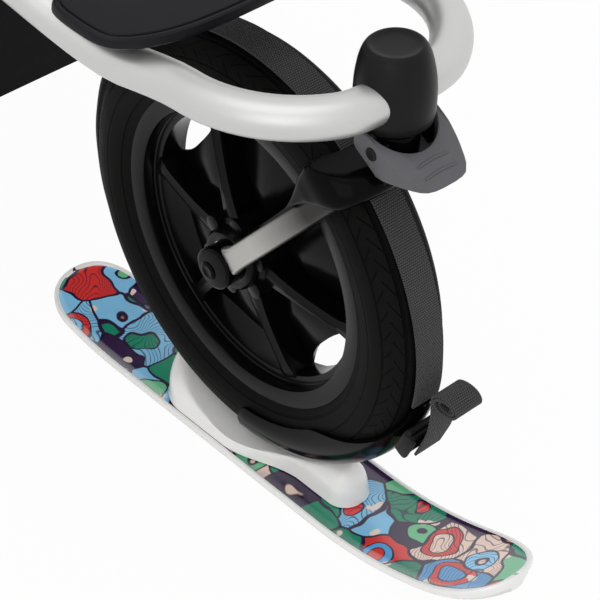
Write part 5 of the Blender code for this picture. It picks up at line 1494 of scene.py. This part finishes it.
def basketPart(values):
    rows, levels, low = [], values["levels"], values["low"]
    count = len(basketRing(1, 0, values))
    middle = Vector((0, (values["front"] + values["rear"]) / 2))
    for inward, order in ((0.0, range(levels, -1, -1)), (values["wall"], range(0, levels + 1))):
        for share in [k / levels for k in order]:
            ring = basketRing(share, inward, values)
            ring = [ring[int(j * len(ring) / count)] for j in range(count)]
            level = low + (values["high"] - low) * share + (inward if share < 1 else 0)
            sag = values["sag"] * share * (0.4 if share == 1 else 0.2)
            row = []
            for p in ring:
                q = p - (p - middle).normalized() * (values["inset"] + foldAt(p, share, values))
                row.append(Vector((q.x, q.y, level - sag * (1 - (q.x / values["half"]) ** 2))))
            rows.append(row)

    def floor(row, t, z):  # the wall's last row drawn in towards the middle
        return [Vector((p.x * t, middle.y + (p.y - middle.y) * t, z)) for p in row]
    outside = [floor(rows[levels], t, low + 0.0006) for t in (0.9, 0.5, 0.02)]
    inside = [floor(rows[levels + 1], t, low + values["wall"] + 0.001) for t in (0.02, 0.5, 0.9)]
    return loft(rows[:levels + 1] + outside + inside + rows[levels + 1:], loop=True)


def dressBasket(values):
    addPiece("basketShell", basketPart(values), "cloth", "frame", ["basket"], atOrigin, 60)
    rim = [Vector((x, y, values["high"] - 0.002 - 0.0012 * (1 - (x / values["half"]) ** 2)))
           for x, y in roundBox((-values["half"] + 0.003, values["front"] + 0.009),
                                (values["half"] - 0.003, values["rear"] - 0.003), values["corner"], 10)]
    rim = dense(rim, 0.012)
    addPiece("basketRim", sweep(rim + [rim[0]], values["rimHalf"], values["rimTall"], 16, 3), "webbing", "frame")
    hangers = []
    for sign in (-1, 1):
        for low, high, normal in values["hangers"]:
            path = [Vector((sign * values["hangX"], *(a + (b - a) * k / 10 for a, b in zip(low, high))))
                    for k in range(11)]
            hangers.append(ribbon(path, [Vector(normal).normalized()] * 11, values["hangHalf"],
                                  values["hangThick"]))
    addPiece("basketHangers", hangers, "webbing", "frame")


dressBasket(basketSet)
print("basket dressed")


# CAD nodes that show as they are get their finish
for node in ("swivel_pin", "front_bearing_left", "front_bearing_right"):
    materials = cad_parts[node].data.materials
    if not len(materials):
        materials.append(None)
    for place in range(len(materials)):
        materials[place] = finishes["steel"].material


# floor, light and a pale surround; lamps are given by place, size and power
stageSet = {"floor": 0.80, "glow": 0.96, "worldLight": 0.88, "size": 6, "under": -0.0004, "aim": (0, -0.2, 0.2),
            "lamps": {"key": ((-0.7, -0.5, 2.6), 1.8, 8.0), "fill": ((-1.9, -1.6, 1.2), 1.6, 7.0)}}


def seenBy(tree, rays):  # 1 for the camera and the other named rays
    path = tree.nodes.new("ShaderNodeLightPath")
    seen = Wire(tree, path.outputs["Is Camera Ray"])
    for ray in rays:
        seen = seen.op("MAXIMUM", Wire(tree, path.outputs[ray]))
    return seen


def mixInto(tree, factor, first, second, output):
    mix = tree.nodes.new("ShaderNodeMixShader")
    for socket, value in zip(mix.inputs, (factor.socket, first.outputs[0], second.outputs[0])):
        tree.links.new(value, socket)
    tree.links.new(mix.outputs[0], tree.nodes[output].inputs[0])


def addFloor(values):
    mesh = bpy.data.meshes.new("floor")
    bm = bmesh.new()
    bmesh.ops.create_grid(bm, x_segments=2, y_segments=2, size=values["size"])
    bm.to_mesh(mesh)
    bm.free()
    floor = link(bpy.data.objects.new("floor", mesh))
    floor.location.z = values["under"]
    paint = bpy.data.materials.new("floorPaint")
    paint.use_nodes = True
    tree = paint.node_tree
    shader = tree.nodes["Principled BSDF"]
    shader.inputs["Base Color"].default_value = (values["floor"],) * 3 + (1,)
    shader.inputs["Roughness"].default_value = 0.9
    mixInto(tree, seenBy(tree, ["Is Glossy Ray"]) * values["glow"], shader, tree.nodes.new("ShaderNodeEmission"),
            "Material Output")
    mesh.materials.append(paint)


def addSurround(values):
    world = bpy.data.worlds.new("surround")
    bpy.context.scene.world = world
    world.use_nodes = True
    tree = world.node_tree
    light, shown = tree.nodes["Background"], tree.nodes.new("ShaderNodeBackground")
    light.inputs[0].default_value = shown.inputs[0].default_value = (1, 1, 1, 1)
    light.inputs[1].default_value = values["worldLight"]
    mixInto(tree, seenBy(tree, ["Is Glossy Ray", "Is Transmission Ray"]), light, shown, "World Output")


def addLamps(values):
    for name, (place, size, power) in values["lamps"].items():
        data = bpy.data.lights.new(name, "AREA")
        data.size, data.energy = size, power
        lamp = link(bpy.data.objects.new(name, data))
        lamp.location = place
        lamp.rotation_euler = (Vector(values["aim"]) - Vector(place)).to_track_quat("-Z", "Y").to_euler()


addFloor(stageSet)
addSurround(stageSet)
addLamps(stageSet)
bpy.context.scene.view_settings.view_transform = "Standard"
print("stage set")
